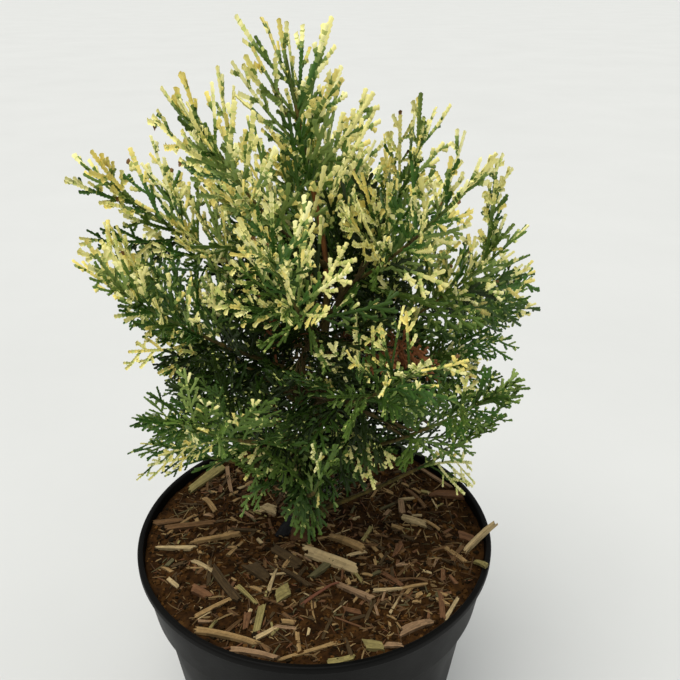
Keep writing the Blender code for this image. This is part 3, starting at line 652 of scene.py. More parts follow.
def chip_grid(draw, length, width, thickness):
    """A split chip along X, flat below: straight fibres that end at a slanting cut or a jagged break."""
    small = length < 8 * MM
    strips, sections = (3, 3) if small else (6, 6)
    points, quads, kinds = [], [], []
    breaks = [[draw.uniform(-0.05, 0.05) * length for _ in range(strips + 1)] for _ in range(2)]
    slants = [draw.uniform(-0.7, 0.7) * width for _ in range(2)]
    ends = [draw.uniform(0.5, 1.0), draw.uniform(0.8, 1.0)]
    draw.shuffle(ends)
    sway = draw.gauss(0, 0.02) * length
    arch = draw.uniform(0, 0.02) * length
    heights = [draw.uniform(0.7, 1.1) for _ in range(strips + 1)]
    for i in range(sections):
        t = i / (sections - 1)
        bulge = 1 - (2 * t - 1) ** 2
        for j in range(strips + 1):
            across = j / strips - 0.5
            x = (t - 0.5) * length
            x += ((1 - t) ** 3 * (slants[0] * across + breaks[0][j])
                  + t**3 * (slants[1] * across + breaks[1][j]))
            y = across * width * (ends[0] + (ends[1] - ends[0]) * t) + sway * bulge
            top = thickness * heights[j] * (1 if 0 < i < sections - 1 else 0.8) * draw.uniform(0.94, 1.06)
            points.append(Vector((x, y + 0.02 * width * draw.uniform(-1, 1), top + arch * bulge)))
            points.append(Vector((x, y, arch * bulge * 0.5)))
    row = 2 * (strips + 1)
    for j in range(strips):
        tone = draw.choices((0, 1, 2), (3, 4, 2))[0]
        for i in range(sections - 1):
            a, b = i * row + 2 * j, (i + 1) * row + 2 * j
            quads += [(a, b, b + 2, a + 2), (a + 1, a + 3, b + 3, b + 1)]
            kinds += [tone if draw.random() < 0.75 else draw.choice((0, 1, 2)), 3]
        a, b = 2 * j, (sections - 1) * row + 2 * j
        quads += [(a, a + 2, a + 3, a + 1), (b + 1, b + 3, b + 2, b)]
        kinds += [3, 3]
    for j, flip in ((0, True), (strips, False)):
        for i in range(sections - 1):
            a, b = i * row + 2 * j, (i + 1) * row + 2 * j
            quads.append((a + 1, b + 1, b, a) if flip else (a, b, b + 1, a + 1))
            kinds.append(2 if draw.random() < 0.5 else 3)
    return points, quads, kinds


def highest_below(place, carriers):
    hits = [carrier.ray_cast(place, Vector((0, 0, -1)))[0] for carrier in carriers]
    return max((hit.z for hit in hits if hit is not None), default=None)


def chip_placement(x, y, length, width, heading, tilt, carriers):
    """Lays a chip down on what carries it, tilted as given or along the ground."""
    turn = Matrix.Rotation(math.radians(heading), 4, "Z")
    above = Matrix.Translation((x, y, 2 * POT_HEIGHT)) @ turn
    if not tilt:
        low, high = (highest_below(above @ Vector((end * length, 0, 0)), carriers) for end in (-0.5, 0.5))
        tilt = math.degrees(math.atan2((high or 0) - (low or 0), length)) if high and low else 0
    above = above @ Matrix.Rotation(-math.radians(tilt), 4, "Y")
    drops = []
    for along in np.linspace(-0.5, 0.5, 13):
        for across in (-0.5, 0, 0.5):
            under = above @ Vector((along * length, across * width, 0))
            below = highest_below(under, carriers)
            if below is not None:
                drops.append(under.z - below)
    return Matrix.Translation((0, 0, -sorted(drops)[len(drops) // 6])) @ above


def make_chips(carriers):
    gathered = {wood: Gathered() for wood in WOODS}
    nodes = {wood: [] for wood in WOODS}

    def add(draw, x, y, length, width, heading, tilt, wood, thickness):
        length, width = length * MM, width * MM
        placement = chip_placement(x * MM, y * MM, length, width, heading, tilt, carriers)
        points, quads, kinds = chip_grid(draw, length, width, thickness)
        gathered[wood].add([placement @ p for p in points], quads, kinds)

    for name, (x, y, length, width, heading, tilt, wood) in CHIPS.items():
        add(random.Random(f"chip {name}"), x, y, length, width, heading, tilt, wood, CHIP_THICKNESS)
        nodes[wood].append(f"chip_{name}")
    for number, (x, y, length, width, heading, wood) in enumerate(MORE_CHIPS):
        draw = random.Random(f"more {number}")
        add(draw, x, y, length, width, heading, 0, wood, min(0.42 * width, 1.8) * MM)
    draw = random.Random("loose chips")
    for _ in range(LOOSE_CHIPS):
        x, y = scattered(draw, 9 * MM)
        length = draw.uniform(2.5, 8) if draw.random() < 0.78 else draw.uniform(8, 17)
        width = min(draw.uniform(0.7, 2.8), 0.55 * length)
        wood = draw.choices(list(WOODS), (1.2, 4, 1, 1.5, 5, 5, 1.2, 1, 0))[0]
        heading = draw.uniform(-180, 180)
        add(draw, x / MM, y / MM, length, width, heading, 0, wood, min(0.45 * width, 1.3) * MM)
    for wood, colour in WOODS.items():
        base = srgb(*colour)
        tones = []
        for n, tone in enumerate(TONES):
            stops = [(0.35, [c * tone * 0.82 for c in base]), (0.65, [c * tone * 1.06 for c in base])]
            tones.append(patterned(f"wood_{wood}_{n}", 420.0, stops, (0.85, 0.7), 0.0002, specular=0.15))
        gathered[wood].place(f"chips_{wood}", tones, "wood_chips", nodes[wood])


TWIG_ON_SOIL = [(-5.5, -54, 1.2), (-1, -50, 2.0), (4, -46, 2.6), (9, -42, 3.0), (13, -40, 2.6)]  # mm


def make_fallen_twig():
    """A thin red-brown twig that lies before the trunk's foot."""
    corners = [over_soil(*place) for place in TWIG_ON_SOIL]
    centres = [smooth_path(corners, k / 16) for k in range(17)]
    points, quads = tube_grid(centres, [(1.0 - 0.5 * k / 16) * MM for k in range(17)], 7, bark_relief)
    bark = principled("twig_bark", srgb(104, 62, 40), 0.7, 0.3)
    place_piece(mesh_object("soil_twig", points, quads, [bark], smooth=True))


# ---------------------------------------------------------------- pot


def rounded_profile(corners, steps=5):
    """(radius, z) points with each corner's arc, from (radius, z, rounding) corners."""
    made = []
    for k, (x, z, rounding) in enumerate(corners):
        if not rounding:
            made.append((x, z))
            continue
        here = Vector((x, z))
        before = Vector(corners[k - 1][:2]) - here
        after = Vector(corners[k + 1][:2]) - here
        half = before.angle(after) / 2
        back = min(rounding / math.tan(half), 0.49 * before.length, 0.49 * after.length)
        before, after = before.normalized(), after.normalized()
        centre = here + (before + after).normalized() * (back / math.cos(half))
        start, end = here + before * back, here + after * back
        for n in range(steps + 1):
            along = (start.lerp(end, n / steps) - centre).normalized()
            made.append(tuple(centre + along * (start - centre).length))
    return made


def make_pot():
    """A turned shell with a step under its collar and a lip, with holes cut into its floor."""
    inner = RIM_RADIUS - LIP_WIDTH
    under_lip = POT_HEIGHT - LIP_HEIGHT
    collar_foot = POT_HEIGHT - COLLAR_HEIGHT
    collar_top = inner - 0.2 * MM + WALL
    profile = rounded_profile([
        (0.001 * MM, 0, 0),
        (FOOT_RADIUS, 0, 2.5 * MM),
        (BODY_RADIUS, collar_foot, 0.6 * MM),
        (COLLAR_RADIUS, collar_foot, 0.8 * MM),
        (collar_top, under_lip, 0.5 * MM),
        (RIM_RADIUS, under_lip, 0.5 * MM),
        (RIM_RADIUS, POT_HEIGHT, 1.1 * MM),
        (inner, POT_HEIGHT, 1.1 * MM),
        (collar_top - WALL, under_lip - 1 * MM, 0.5 * MM),
        (COLLAR_RADIUS - WALL, collar_foot + WALL, 0.8 * MM),
        (BODY_RADIUS - WALL, collar_foot - WALL, 0.6 * MM),
        (FOOT_RADIUS - WALL, FLOOR, 1.5 * MM),
        (0.001 * MM, FLOOR, 0),
    ])
    points, quads = turned(profile, 192)
    plastic = principled("pot_plastic", srgb(12, 12, 11), 0.5, 0.05)
    tree = plastic.node_tree
    dust = noise_node(tree, 24.0, 5.0)
    add_node(tree, "Principled BSDF", {
        "Base Color": ramp_node(tree, dust, [(0.35, srgb(9, 9, 8)), (0.7, srgb(16, 15, 14))]),
        "Roughness": rough_node(tree, dust, (0.38, 0.55)),
        "Normal": bump_node(tree, noise_node(tree, 900.0, 2.0), 0.25, 0.0002),
    })
    pot = mesh_object("pot_shell", points, quads, [plastic], smooth=True)
    cutters = []
    for k in range(DRAIN_HOLES):
        angle = math.tau * (k + 0.5) / DRAIN_HOLES
        place = (DRAIN_CIRCLE * math.cos(angle), DRAIN_CIRCLE * math.sin(angle), FLOOR / 2)
        bpy.ops.mesh.primitive_cylinder_add(vertices=32, radius=DRAIN_RADIUS, depth=FLOOR * 3, location=place)
        cutters.append(bpy.context.object)
        cut = pot.modifiers.new("hole", "BOOLEAN")
        cut.operation, cut.solver, cut.object = "DIFFERENCE", "EXACT", cutters[-1]
    made = bpy.data.meshes.new_from_object(pot.evaluated_get(bpy.context.evaluated_depsgraph_get()))
    pot.modifiers.clear()
    pot.data = made
    for cutter in cutters:
        bpy.data.objects.remove(cutter)
    made.shade_smooth()
    made.set_sharp_from_angle(angle=math.radians(40))
    return place_piece(pot, ["pot"])


# ---------------------------------------------------------------- trunk, boughs and stems


def bark_relief(centre, angle, radius):
    """Strips of bark that part along the wood, and fine roughness."""
    place = Vector((math.cos(angle) * 1.6, math.sin(angle) * 1.6, centre.z / (14 * MM)))
    strips = noise.noise(place * 1.5) * 0.16 + abs(noise.noise(place * 3.1)) * -0.20
    fine = noise.noise(Vector((math.cos(angle) * 4, math.sin(angle) * 4, centre.z / (3 * MM)))) * 0.07
    return radius * (strips + fine + 0.03)


BARK_CHANGES = (34, 148, 196)  # mm above the soil: the foot's weathered bark, darkened also as painted shade, olive, orange-brown and young green wood


def make_wood():
    """The trunk's and boughs' bark and the stems of the foliage, joined by kind."""
    def wood(name, *tones):
        stops = [(place, srgb(*tone)) for place, tone in zip((0.32, 0.5, 0.7), tones)]
        return patterned(name, 260.0, stops, (0.9, 0.7), 0.0004, stretch=(1, 1, 0.22), specular=0.2)

    def trunk_relief(centre, angle, radius):
        rise = centre.z - SOIL_LEVEL
        lobes = 1.1 * MM * math.cos(4 * angle + 0.6) * math.exp(-max(rise, 0) / FLARE_HEIGHT * 2)
        return lobes + bark_relief(centre, angle, radius)

    # The foot's darker bark is weathering, and also painted shade where the crown shades the trunk's foot.
    weathered_and_shaded = wood("foot_bark", (42, 28, 16), (70, 46, 26), (98, 68, 40))
    olive = wood("olive_bark", (46, 40, 20), (84, 74, 36), (118, 98, 50))
    bark = wood("bark", (92, 60, 30), (144, 94, 50), (180, 126, 72))
    young = principled("young_wood", srgb(78, 92, 36), 0.7, 0.3)
    shares = [TRUNK_TOP * (k / 130) ** 1.15 for k in range(131)]
    sides = 28
    centres, radii = [trunk_point(share) for share in shares], [trunk_radius(share) for share in shares]
    points, quads = tube_grid(centres, radii, sides, trunk_relief)
    for point in points[:sides]:
        point.z -= 1.2 * MM
    draw = random.Random("bark")
    kinds = [bisect.bisect(BARK_CHANGES, (points[quad[0]].z - SOIL_LEVEL) / MM + draw.uniform(-6, 6))
             for quad in quads]
    trunk = mesh_object("trunk_bark", points, quads, [weathered_and_shaded, olive, bark, young], kinds, smooth=True)
    place_piece(trunk, ["trunk"])

    boughs, stems = Gathered(), Gathered()
    for limb in LIMBS:
        if limb.number < BOUGHS:
            centres = [limb.point(BOUGH_SHARE * k / 22) for k in range(23)]
            radii = [blend(limb.radii, (k / 22) ** 0.7) + 0.5 * MM * max(0, 1 - k / 4) for k in range(23)]
            boughs.add(*tube_grid(centres, radii, 12, bark_relief))
        last = 1 - 0.45 * TIP_LENGTH / limb.length()
        steps, sides = 34, 7
        centres = [limb.point(limb.first + (last - limb.first) * k / steps) for k in range(steps + 1)]
        radii = [limb.radii[1] + (STEM_TIP_RADIUS - limb.radii[1]) * k / steps for k in range(steps + 1)]
        points, quads = tube_grid(centres, radii, sides, bark_relief)
        stems.add(points, quads, [0 if n // sides < 0.55 * steps else 1 for n in range(len(quads))])
    replaced = [f"bough_{limb.label}" for limb in LIMBS[:BOUGHS]]
    boughs.place("bough_bark", [olive], "bark", replaced, smooth=True)
    stems.place("stem_bark", [olive, young], "bark", smooth=True)


# ---------------------------------------------------------------- foliage


TRUNK_TABLE = np.array([[*trunk_point(s), trunk_radius(s)] for s in np.linspace(0, TRUNK_TOP, 60)])
BOX_LOW = np.array(cad_box[0]) - 1.2 * MM
BOX_HIGH = np.array(cad_box[1]) + 1.2 * MM

FRONT_EYE = np.array((13.5, -329.6, 422.7)) * MM  # where the front is seen from
SLIT_HEIGHTS = (SOIL_LEVEL + 138 * MM, SOIL_LEVEL + 188 * MM)
SLIT_HALF = 1.8 * MM
DEAD_PLACE = np.array((45, -22, 126)) * MM + np.array((0, 0, SOIL_LEVEL))
DEAD_REACH = 15 * MM
WINDOW_HALF = np.array((11, 7)) * MM


def in_gaps(points):
    """Which points stand before the trunk's upper half or the dead foliage, as seen from the front."""
    back = -points[:, 1] / -FRONT_EYE[1]
    x = (points[:, 0] - FRONT_EYE[0] * back) / (1 - back)
    z = (points[:, 2] - FRONT_EYE[2] * back) / (1 - back)
    trunk_x = np.interp(z, TRUNK_TABLE[:, 2], TRUNK_TABLE[:, 0])
    slit = (back > 0) & (np.abs(x - trunk_x) < SLIT_HALF) & (z > SLIT_HEIGHTS[0]) & (z < SLIT_HEIGHTS[1])
    sight = DEAD_PLACE - FRONT_EYE
    share = (points[:, 1] - FRONT_EYE[1]) / sight[1]
    aside = (points - FRONT_EYE) / np.maximum(share, 0.01)[:, None] - sight
    window = ((aside[:, [0, 2]] / WINDOW_HALF) ** 2).sum(axis=1) < 1
    return slit | (window & (share < 1))


def clear(points, hanging=False):
    """Which points are clear of soil, rim and trunk, inside the solids' reach and over the crown's underside.

    Hanging foliage may reach below that.
    """
    x, y, z = points.T
    inside_rim = np.hypot(x, y) < RIM_RADIUS - 10 * MM
    ground = np.where(inside_rim, SOIL_LEVEL + 2 * MM, POT_HEIGHT) + LEAF_CLEARANCE
    trunk_x = np.interp(z, TRUNK_TABLE[:, 2], TRUNK_TABLE[:, 0])
    trunk_y = np.interp(z, TRUNK_TABLE[:, 2], TRUNK_TABLE[:, 1])
    wood = np.interp(z, TRUNK_TABLE[:, 2], TRUNK_TABLE[:, 3], right=0)
    out = np.hypot(x, y)
    front = np.abs(y / np.maximum(out, 1 * MM)) ** 1.5 * np.where(y > 0, -0.6, 1)  # lower at the back
    skirt = SOIL_LEVEL + blend(SKIRT_HEIGHT, front) + blend(SKIRT_SLOPE, front) * np.minimum(out, SKIRT_BEND)
    skirt += blend(SKIRT_OUTER, front) * np.maximum(out - SKIRT_BEND, 0)
    off_trunk = np.hypot(x - trunk_x, y - trunk_y) > wood + 0.3 * MM
    in_box = ((points > BOX_LOW) & (points < BOX_HIGH)).all(axis=1)
    return (z > ground) & ((z > skirt) | hanging) & off_trunk & in_box


MOST_TRIANGLES = 190000  # of one piece
SHOOT_FIELDS = ("spray", "parent", "u", "v", "w", "slope", "angle", "turn", "length", "half", "roll",
                "cream", "cream_kind", "green_kind", "brown")


def arc_end(u, v, angle, turn, length, share):
    """Where a shoot has got to at a share of its length, and its angle there."""
    here = angle + turn * share
    if abs(turn) < 1e-4:
        return u + length * share * math.cos(angle), v + length * share * math.sin(angle), here
    return (u + length / turn * (math.sin(here) - math.sin(angle)),
            v - length / turn * (math.cos(here) - math.cos(angle)), here)


def rise_of(place):
    """A place's height above the soil as a share of the crown's."""
    return within((place.z - SOIL_LEVEL) / CROWN_TOP)


def by_rise(row, rise):
    return float(np.interp(rise, RISES, row))


class Foliage:
    """All sprays of the crown and their shoots, as plain numbers until they are made into meshes."""

    def __init__(self):
        self.sprays = []
        self.shoots = []

    def spray(self, draw, origin, points_to, up_side, length, creamy, tier, fine, green, withered=None,
              hanging=False, straight=False):
        """One flat spray: its axis, side shoots by turns on either hand, and short shoots on those.

        A creamy spray may have a cream zone, from a place on its axis to the tip, mostly on one hand.
        At the crown's top only the shoots' ends are cream, and lower down the shoots that hang are longer.
        """
        side = (up_side - points_to * up_side.dot(points_to)).normalized()
        side = Matrix.Rotation(draw.gauss(0, 0.5), 3, points_to) @ side
        rise = rise_of(origin)
        tipped = within((rise - TIPPED_FROM) / 0.2)
        single = within((rise - 0.3) / 0.3, 0.3)
        forward = -(origin + points_to * 0.6 * length).y
        fine_size = 1 - FINER[2] * within((forward - FINER[0]) / (FINER[1] - FINER[0]))
        unit = fine_size * MM
        number = len(self.sprays)
        loose = 0.0 if straight else 1.0
        self.sprays.append((*origin, *points_to, *side, *points_to.cross(side), loose * draw.gauss(0, 0.08),
                            blend(SAG, rise) + loose * draw.uniform(-0.08, 0.08), length, TIERS.index(tier),
                            SCALE_PITCH if fine else COARSE_PITCH, hanging))
        zone = draw.uniform(0.15, 0.8) if draw.random() < creamy else 1.1
        zone_hand = draw.choice((-1, 1, 0))
        favourite = draw.choices(CREAMS, (5, blend((4, 2), tipped), blend((2, 5), tipped)))[0]
        half = by_rise(HALF_WIDTHS, rise) * unit * draw.uniform(0.92, 1.08)
        pitch, short_pitch = by_rise(SHOOT_PITCHES, rise) * unit, by_rise(SHORT_PITCHES, rise) * unit
        spread = by_rise(SPREADS, rise)
        short_size = by_rise(SHORT_SIZES, rise)

        def shoot(parent, u, v, w, slope, angle, turn, length, thick, level, out=1.0, whole=False):
            cream, green_kind = 0.0, green
            if withered:
                green_kind = withered
            else:
                often = (1.6, 1.3, 0.75 + 0.45 * tipped)[level]
                if draw.random() < creamy * single * (0.25 + 0.75 * out) * often:
                    cream = draw.uniform(2.5, 7.5) * unit
                if whole:
                    cream = max(cream, length * draw.uniform(0.7, 1.4))
                if draw.random() < tipped:
                    cream = min(cream, length * draw.uniform(0.30, 0.68))
                # Small shoots turn the light 'fresh' green more often higher up: young growth, and also
                # painted light at the top.
                if level == 2 and draw.random() < 0.12 + 0.22 * rise and green != "shade":
                    green_kind = "fresh"
            kind = favourite if draw.random() < 0.6 else draw.choice(CREAMS)
            thick *= SWOLLEN if cream > 0.5 * length else 1.0
            self.shoots.append((number, parent, u, v, w, slope, angle, turn, length, thick,
                                draw.uniform(-0.35, 0.35), cream, KINDS.index(kind), KINDS.index(green_kind),
                                cream > 0 and draw.random() < 0.02))
            return len(self.shoots) - 1

        bend = 0.0 if straight else draw.uniform(-0.25, 0.25)
        axis = shoot(-1, 0, 0, 0, 0, 0, bend, length, half * 1.1, 0)
        if zone < 1 and not withered:
            cream = min((1 - zone) * length * 0.9, blend((60, 8), tipped) * MM)
            self.shoots[axis] = (*self.shoots[axis][:11], cream, *self.shoots[axis][12:])
        at = 0.14 * length
        hand = draw.choice((-1, 1))
        while at < length - 3.2 * MM:
            x = at / length
            u, v, heading = arc_end(0, 0, 0, bend, length, x)
            envelope = 0.38 * by_rise(FULLNESS, rise) * (1 - x) ** 0.6 * (0.55 + 0.45 * min(1, x / 0.3))
            long = (envelope * length + 3.0 * MM) * draw.uniform(0.6, 1.2) * fine_size
            long *= 1 - 0.45 * hand * side.z * (1 - rise)
            slope = draw.gauss(0, 0.16)
            zoned = x > zone and hand != -zone_hand and draw.random() < 0.8
            whole = zoned or draw.random() < 0.35 * creamy * (0.3 + x)
            wider = 9 if whole else 0
            angle = heading + hand * math.radians(spread + wider + draw.uniform(-7, 7))
            turn = -hand * draw.uniform(0.1, 0.45)
            side_shoot = shoot(axis, u, v, 0, slope, angle, turn, long, half, 1, x, whole)
            if long > 5.0 * MM:
                place = 0.26 * long
                short_hand = hand
                while place < long - 2.0 * MM:
                    y = place / long
                    su, sv, heading2 = arc_end(u, v, angle, turn, long, y)
                    short = (0.36 * long * (1 - y) ** 0.7 + 1.8 * MM) * draw.uniform(0.65, 1.2) * short_size
                    shoot(side_shoot, su, sv, slope * place, slope + draw.gauss(0, 0.14),
                          heading2 + short_hand * math.radians(spread + wider + draw.uniform(-6, 8)),
                          -short_hand * draw.uniform(0.1, 0.4), short, half * 0.92, 2, max(x, y), whole)
                    place += short_pitch * draw.uniform(0.8, 1.25) * (1.25 if whole else 1.0)
                    short_hand = -short_hand
            at += pitch * draw.uniform(0.8, 1.25)
            hand = -hand

    def rings(self):
        """Every ring of every shoot: its three points, its shoot's and spray's values, and whose it is."""
        sprays = np.array(self.sprays, float)
        shoots = dict(zip(SHOOT_FIELDS, np.array(self.shoots, float).T))
        pitch = sprays[shoots["spray"].astype(int), 16]
        nodes = np.maximum(2, np.round(shoots["length"] / pitch)).astype(int)
        count = 2 * nodes + 1
        first = np.concatenate(([0], np.cumsum(count)[:-1]))
        which = np.repeat(np.arange(len(count)), count)
        ring = {field: values[which] for field, values in shoots.items()}
        spray = sprays[ring["spray"].astype(int)]
        origin, ahead, side, normal = (spray[:, 3 * n:3 * n + 3] for n in range(4))
        local = np.arange(count.sum()) - first[which]
        wide, last, near_end = local % 2 == 1, local == 2 * nodes[which], local >= 2 * nodes[which] - 1
        s = (local // 2 + np.where(wide, 0.78, 0.0)) * (shoots["length"] / nodes)[which]
        share = s / ring["length"]
        turn = np.where(np.abs(ring["turn"]) < 1e-4, 1e-4, ring["turn"])
        here = ring["angle"] + turn * share
        run = ring["length"] / turn
        u = ring["u"] + run * (np.sin(here) - np.sin(ring["angle"]))
        v = ring["v"] - run * (np.cos(here) - np.cos(ring["angle"]))
        w = ring["w"] + ring["slope"] * s
        half = ring["half"] * np.where(wide, 1.0, SCALE_NOTCH) * np.minimum(1.0, 0.7 + 0.3 * s / (1.5 * MM))
        half = half * (1 + np.where(ring["cream"] > 0, 0.28, 0.12) * share**2)
        half = np.where(last, ring["half"] * 0.28, np.where(near_end, half * 0.86, half))
        height = np.clip((origin[:, 2] - SOIL_LEVEL) / CROWN_TOP, 0, 1)
        ridge = np.where(wide, 1.0, 0.75) * blend(RIDGES, height) * np.where(last, 0.3, 1.0)
        points = np.empty((len(which), 3, 3))
        for n, across in enumerate((half, 0 * half, -half)):
            up = ridge if n == 1 else -0.3 * ridge + ring["roll"] * across
            pu, pv = u - across * np.sin(here), v + across * np.cos(here)
            pw = w + up + spray[:, 12] * (pu**2 + pv**2) / spray[:, 14]
            place = origin + ahead * pu[:, None] + side * pv[:, None] + normal * pw[:, None]
            place[:, 2] += spray[:, 13] * pu**2 / spray[:, 14]
            points[:, n] = place
        ring.update(left=ring["length"] - s, tier=spray[:, 15], hanging=spray[:, 17] > 0)
        return points, ring, which, first

    def meshes(self):
        """Drops what isn't clear and makes one mesh for each tier and kind of leaf."""
        points, ring, which, first = self.rings()
        shown = (ring["cream"] > 3 * MM) | (ring["green_kind"] >= WITHERED)
        fits = np.ones(len(which), bool)
        for edge in (points[:, 0], points[:, 2]):
            fits &= clear(edge, ring["hanging"]) & (~in_gaps(edge) | shown)
        fits |= (ring["length"] - ring["left"] < 2.5 * MM) & (ring["parent"] < 0)
        keep = np.logical_and.reduceat(fits, first)
        parent = np.array([shoot[1] for shoot in self.shoots])
        for _ in range(2):
            keep &= np.where(parent >= 0, keep[parent], True)
        starts = np.flatnonzero(keep[which] & np.append(which[1:] == which[:-1], False))
        quads = np.concatenate([3 * starts[:, None] + (n, n + 1, n + 4, n + 3) for n in (0, 1)])
        reach = (ring["left"][starts] + ring["left"][starts + 1]) / 2
        strip = {field: values[starts] for field, values in ring.items()}
        cream, green = strip["cream"], strip["green_kind"]
        speckle = np.random.default_rng(5).random(len(starts))
        high = np.clip((points[starts, 1, 2] - SOIL_LEVEL) / CROWN_TOP, 0, 1)
        kind = np.where(reach < cream, strip["cream_kind"], green)
        for where, name in (
                ((reach >= cream) & (reach < cream * 1.25 + 0.8 * MM) & (cream > 0), "fresh"),
                ((reach < cream) & (reach > 1.5 * MM) & (speckle < blend((0.45, 0.12), high)), "lime"),
                ((reach > cream) & (green < WITHERED) & (speckle < 0.07 * high), "lime"),
                ((strip["brown"] > 0) & (reach < 1.1 * MM), "browned")):
            kind = np.where(where, KINDS.index(name), kind)
        kind, tier = np.tile(kind.astype(int), 2), np.tile(strip["tier"].astype(int), 2)
        total = sum(shoot[8] for shoot, kept in zip(self.shoots, keep) if kept)
        print(f"foliage: {len(self.sprays)} sprays, {keep.sum()} of {len(keep)} shoots, {total:.1f} m, "
              f"{2 * len(quads)} triangles")
        for t, tier_name in enumerate(TIERS):
            replaced = [f"foliage_{limb.label}" for limb in LIMBS if limb.tier == tier_name]
            for k, kind_name in enumerate(KINDS):
                chosen = quads[(tier == t) & (kind == k)]
                parts = -(-2 * len(chosen) // MOST_TRIANGLES)
                for part in range(parts):
                    used, packed = np.unique(np.array_split(chosen, parts)[part], return_inverse=True)
                    name = f"leaves_{tier_name}_{kind_name}" + (f"_{part + 1}" if parts > 1 else "")
                    piece = mesh_object(name, points.reshape(-1, 3)[used], packed.reshape(-1, 4),
                                        [leaf_material(kind_name)], smooth=True)
                    place_piece(piece, replaced)
                    replaced = []


@functools.cache
def leaf_material(kind):
    roughness = 0.55 if kind in ("dead", "dull", "browned") else 0.40
    return principled(f"leaf_{kind}", srgb(*LEAF_COLOURS[kind]), roughness, 0.22)


# How creamy the outermost sprays are, by share of the crown's height
CREAM_RISES = (0.0, 0.2, 0.4, 0.5, 0.6, 0.7, 0.85, 1.0)
CREAM_SHARES = (0.02, 0.04, 0.06, 0.115, 0.40, 0.94, 0.97, 0.97)


def creaminess(place, outer, draw):
    """How much cream a spray shows: more of it towards the top and on the outside."""
    expected = float(np.interp(rise_of(place), CREAM_RISES, CREAM_SHARES)) * (0.15 + 0.85 * outer**1.5)
    if draw.random() > expected / 0.45:
        return 0.05 * expected
    return min(max(expected, 0.45) * draw.uniform(0.5, 1.5), 0.97)


def green_of(outer, rise, draw):
    """Darker greens inside the crown as painted shade, and lighter ones towards the outside and the top as
    painted light.
    """
    low, high = ((9, 4, 0, 0, 0), (0, 0, 6, 2, 5)) if outer < 0.6 else ((1, 5, 5, 4, 1), (0, 0, 5, 4, 6))
    start, run = (0.50, 0.18) if outer < 0.6 else (0.45, 0.3)
    weights = [blend(pair, within((rise - start) / run)) for pair in zip(low, high)]
    return draw.choices(("shade", "deep", "mid", "cool", "fresh"), weights)[0]


def withered_at(place):
    """What a spray has turned to at its middle's place: dead in one patch at the front, else none."""
    return "dead" if (place - Vector(DEAD_PLACE)).length < DEAD_REACH else None


def inner_withering(rise, draw):
    """The same for the sprays inside the crown, of which some are dry."""
    shares = (0.80, 0.16, 0.04) if rise < 0.5 else (0.98, 0.02, 0)
    return draw.choices((None, "dull", "dead"), shares)[0]


def fitted_length(origin, points_to, length, hanging=False):
    """The largest size at which a spray's axis stays clear, or None."""
    for fit in FITS:
        reach = np.linspace(4 * MM, length * fit, 9)[:, None]
        if clear(np.array(origin)[None, :] + np.array(points_to)[None, :] * reach, hanging).all():
            return length * fit
    return None


def start_for(tip):
    """The limb, and the place on it, from which a spray runs on most straightly to a tip."""
    found = []
    for limb in LIMBS:
        for share in np.linspace(0.4, 0.95, 12):
            ahead = tip - limb.point(share)
            if 24 * MM < ahead.length < 52 * MM:
                found.append((ahead.angle(limb.along(share)) + ahead.length / (60 * MM), limb.number, share))
    _, number, share = min(found)
    return next(limb for limb in LIMBS if limb.number == number), share


def bent_to(origin, tip):
    """Direction at its start and length of a spray whose tip sags or rises to just this place."""
    ahead = tip - origin
    lift = blend(SAG, rise_of(origin))
    length = math.sqrt((lift * ahead.z) ** 2 + (1 - lift**2) * ahead.length_squared) - lift * ahead.z
    length /= 1 - lift**2
    return (ahead - Vector((0, 0, lift * length))).normalized(), length


def grow_rule(crown, limb):
    """The rule's sprays on a limb's stem, and the one at its tip."""
    size = limb.length()
    twigs = round(blend(TWIGS, limb.number / BOUGHS)) if limb.number < BOUGHS else LEADER_SPRAYS
    for k in range(twigs):
        share, points_to, length = twig_rule(limb, k, twigs)
        draw = random.Random(f"spray {limb.number} {k}")
        origin = limb.point(share)
        length *= blend((1.0, TWIG_SIZES.get(limb.number, 1.0)), share)
        length = fitted_length(origin, points_to, length)
        if length is None or k in OPEN_PLACES.get(limb.number, ()):
            continue
        tip = origin + points_to * length
        outer = min(1.0, (share * size + 0.6 * length) / size)
        if outer > 0.5 and draw.random() < 0.45 * within((rise_of(tip) - TIPPED_FROM) / 0.15):
            continue
        rise = rise_of(origin)
        up_side = limb.along(share).lerp(UP, min(1.0, 0.3 + 0.8 * rise))
        crown.spray(draw, origin, points_to, up_side, length, creaminess(tip, outer, draw), limb.tier,
                    share > 0.42, green_of(outer, rise, draw), withered_at(origin + points_to * 0.5 * length))
    draw = random.Random(f"tip {limb.number}")
    start = limb.point(1 - TIP_LENGTH / size)
    points_to, length = bent_to(start, limb.tip)
    creamy = creaminess(limb.tip, 1.0, draw)
    crown.spray(draw, start, points_to, UP.cross(points_to), length, creamy, limb.tier, True, "mid",
                straight=True)


def grow_inner(crown, limb):
    """Coarse sprays on a bough's bare part."""
    for k in range(INNER_TWIGS + (MORE_LOW_TWIGS if limb.tier == "low" else 0)):
        draw = random.Random(f"inner {limb.number} {k}")
        share = BOUGH_SHARE * (0.35 + 0.65 * (k % INNER_TWIGS + 0.5) / INNER_TWIGS)
        along = limb.along(share)
        away = Matrix.Rotation(k * GOLDEN_ANGLE + 2 * limb.number, 3, along) @ along.orthogonal().normalized()
        points_to = (along * 0.5 + away + UP * LIFT).normalized()
        origin = limb.point(share)
        rise = rise_of(origin)
        length = fitted_length(origin, points_to, draw.uniform(24, 38) * (1 + 0.5 * rise) * MM)
        if length:
            withered = withered_at(origin + points_to * 0.5 * length) or inner_withering(rise, draw)
            crown.spray(draw, origin, points_to, along, length, 0.4 * rise**3, limb.tier, False,
                        green_of(0.2, rise, draw), withered)


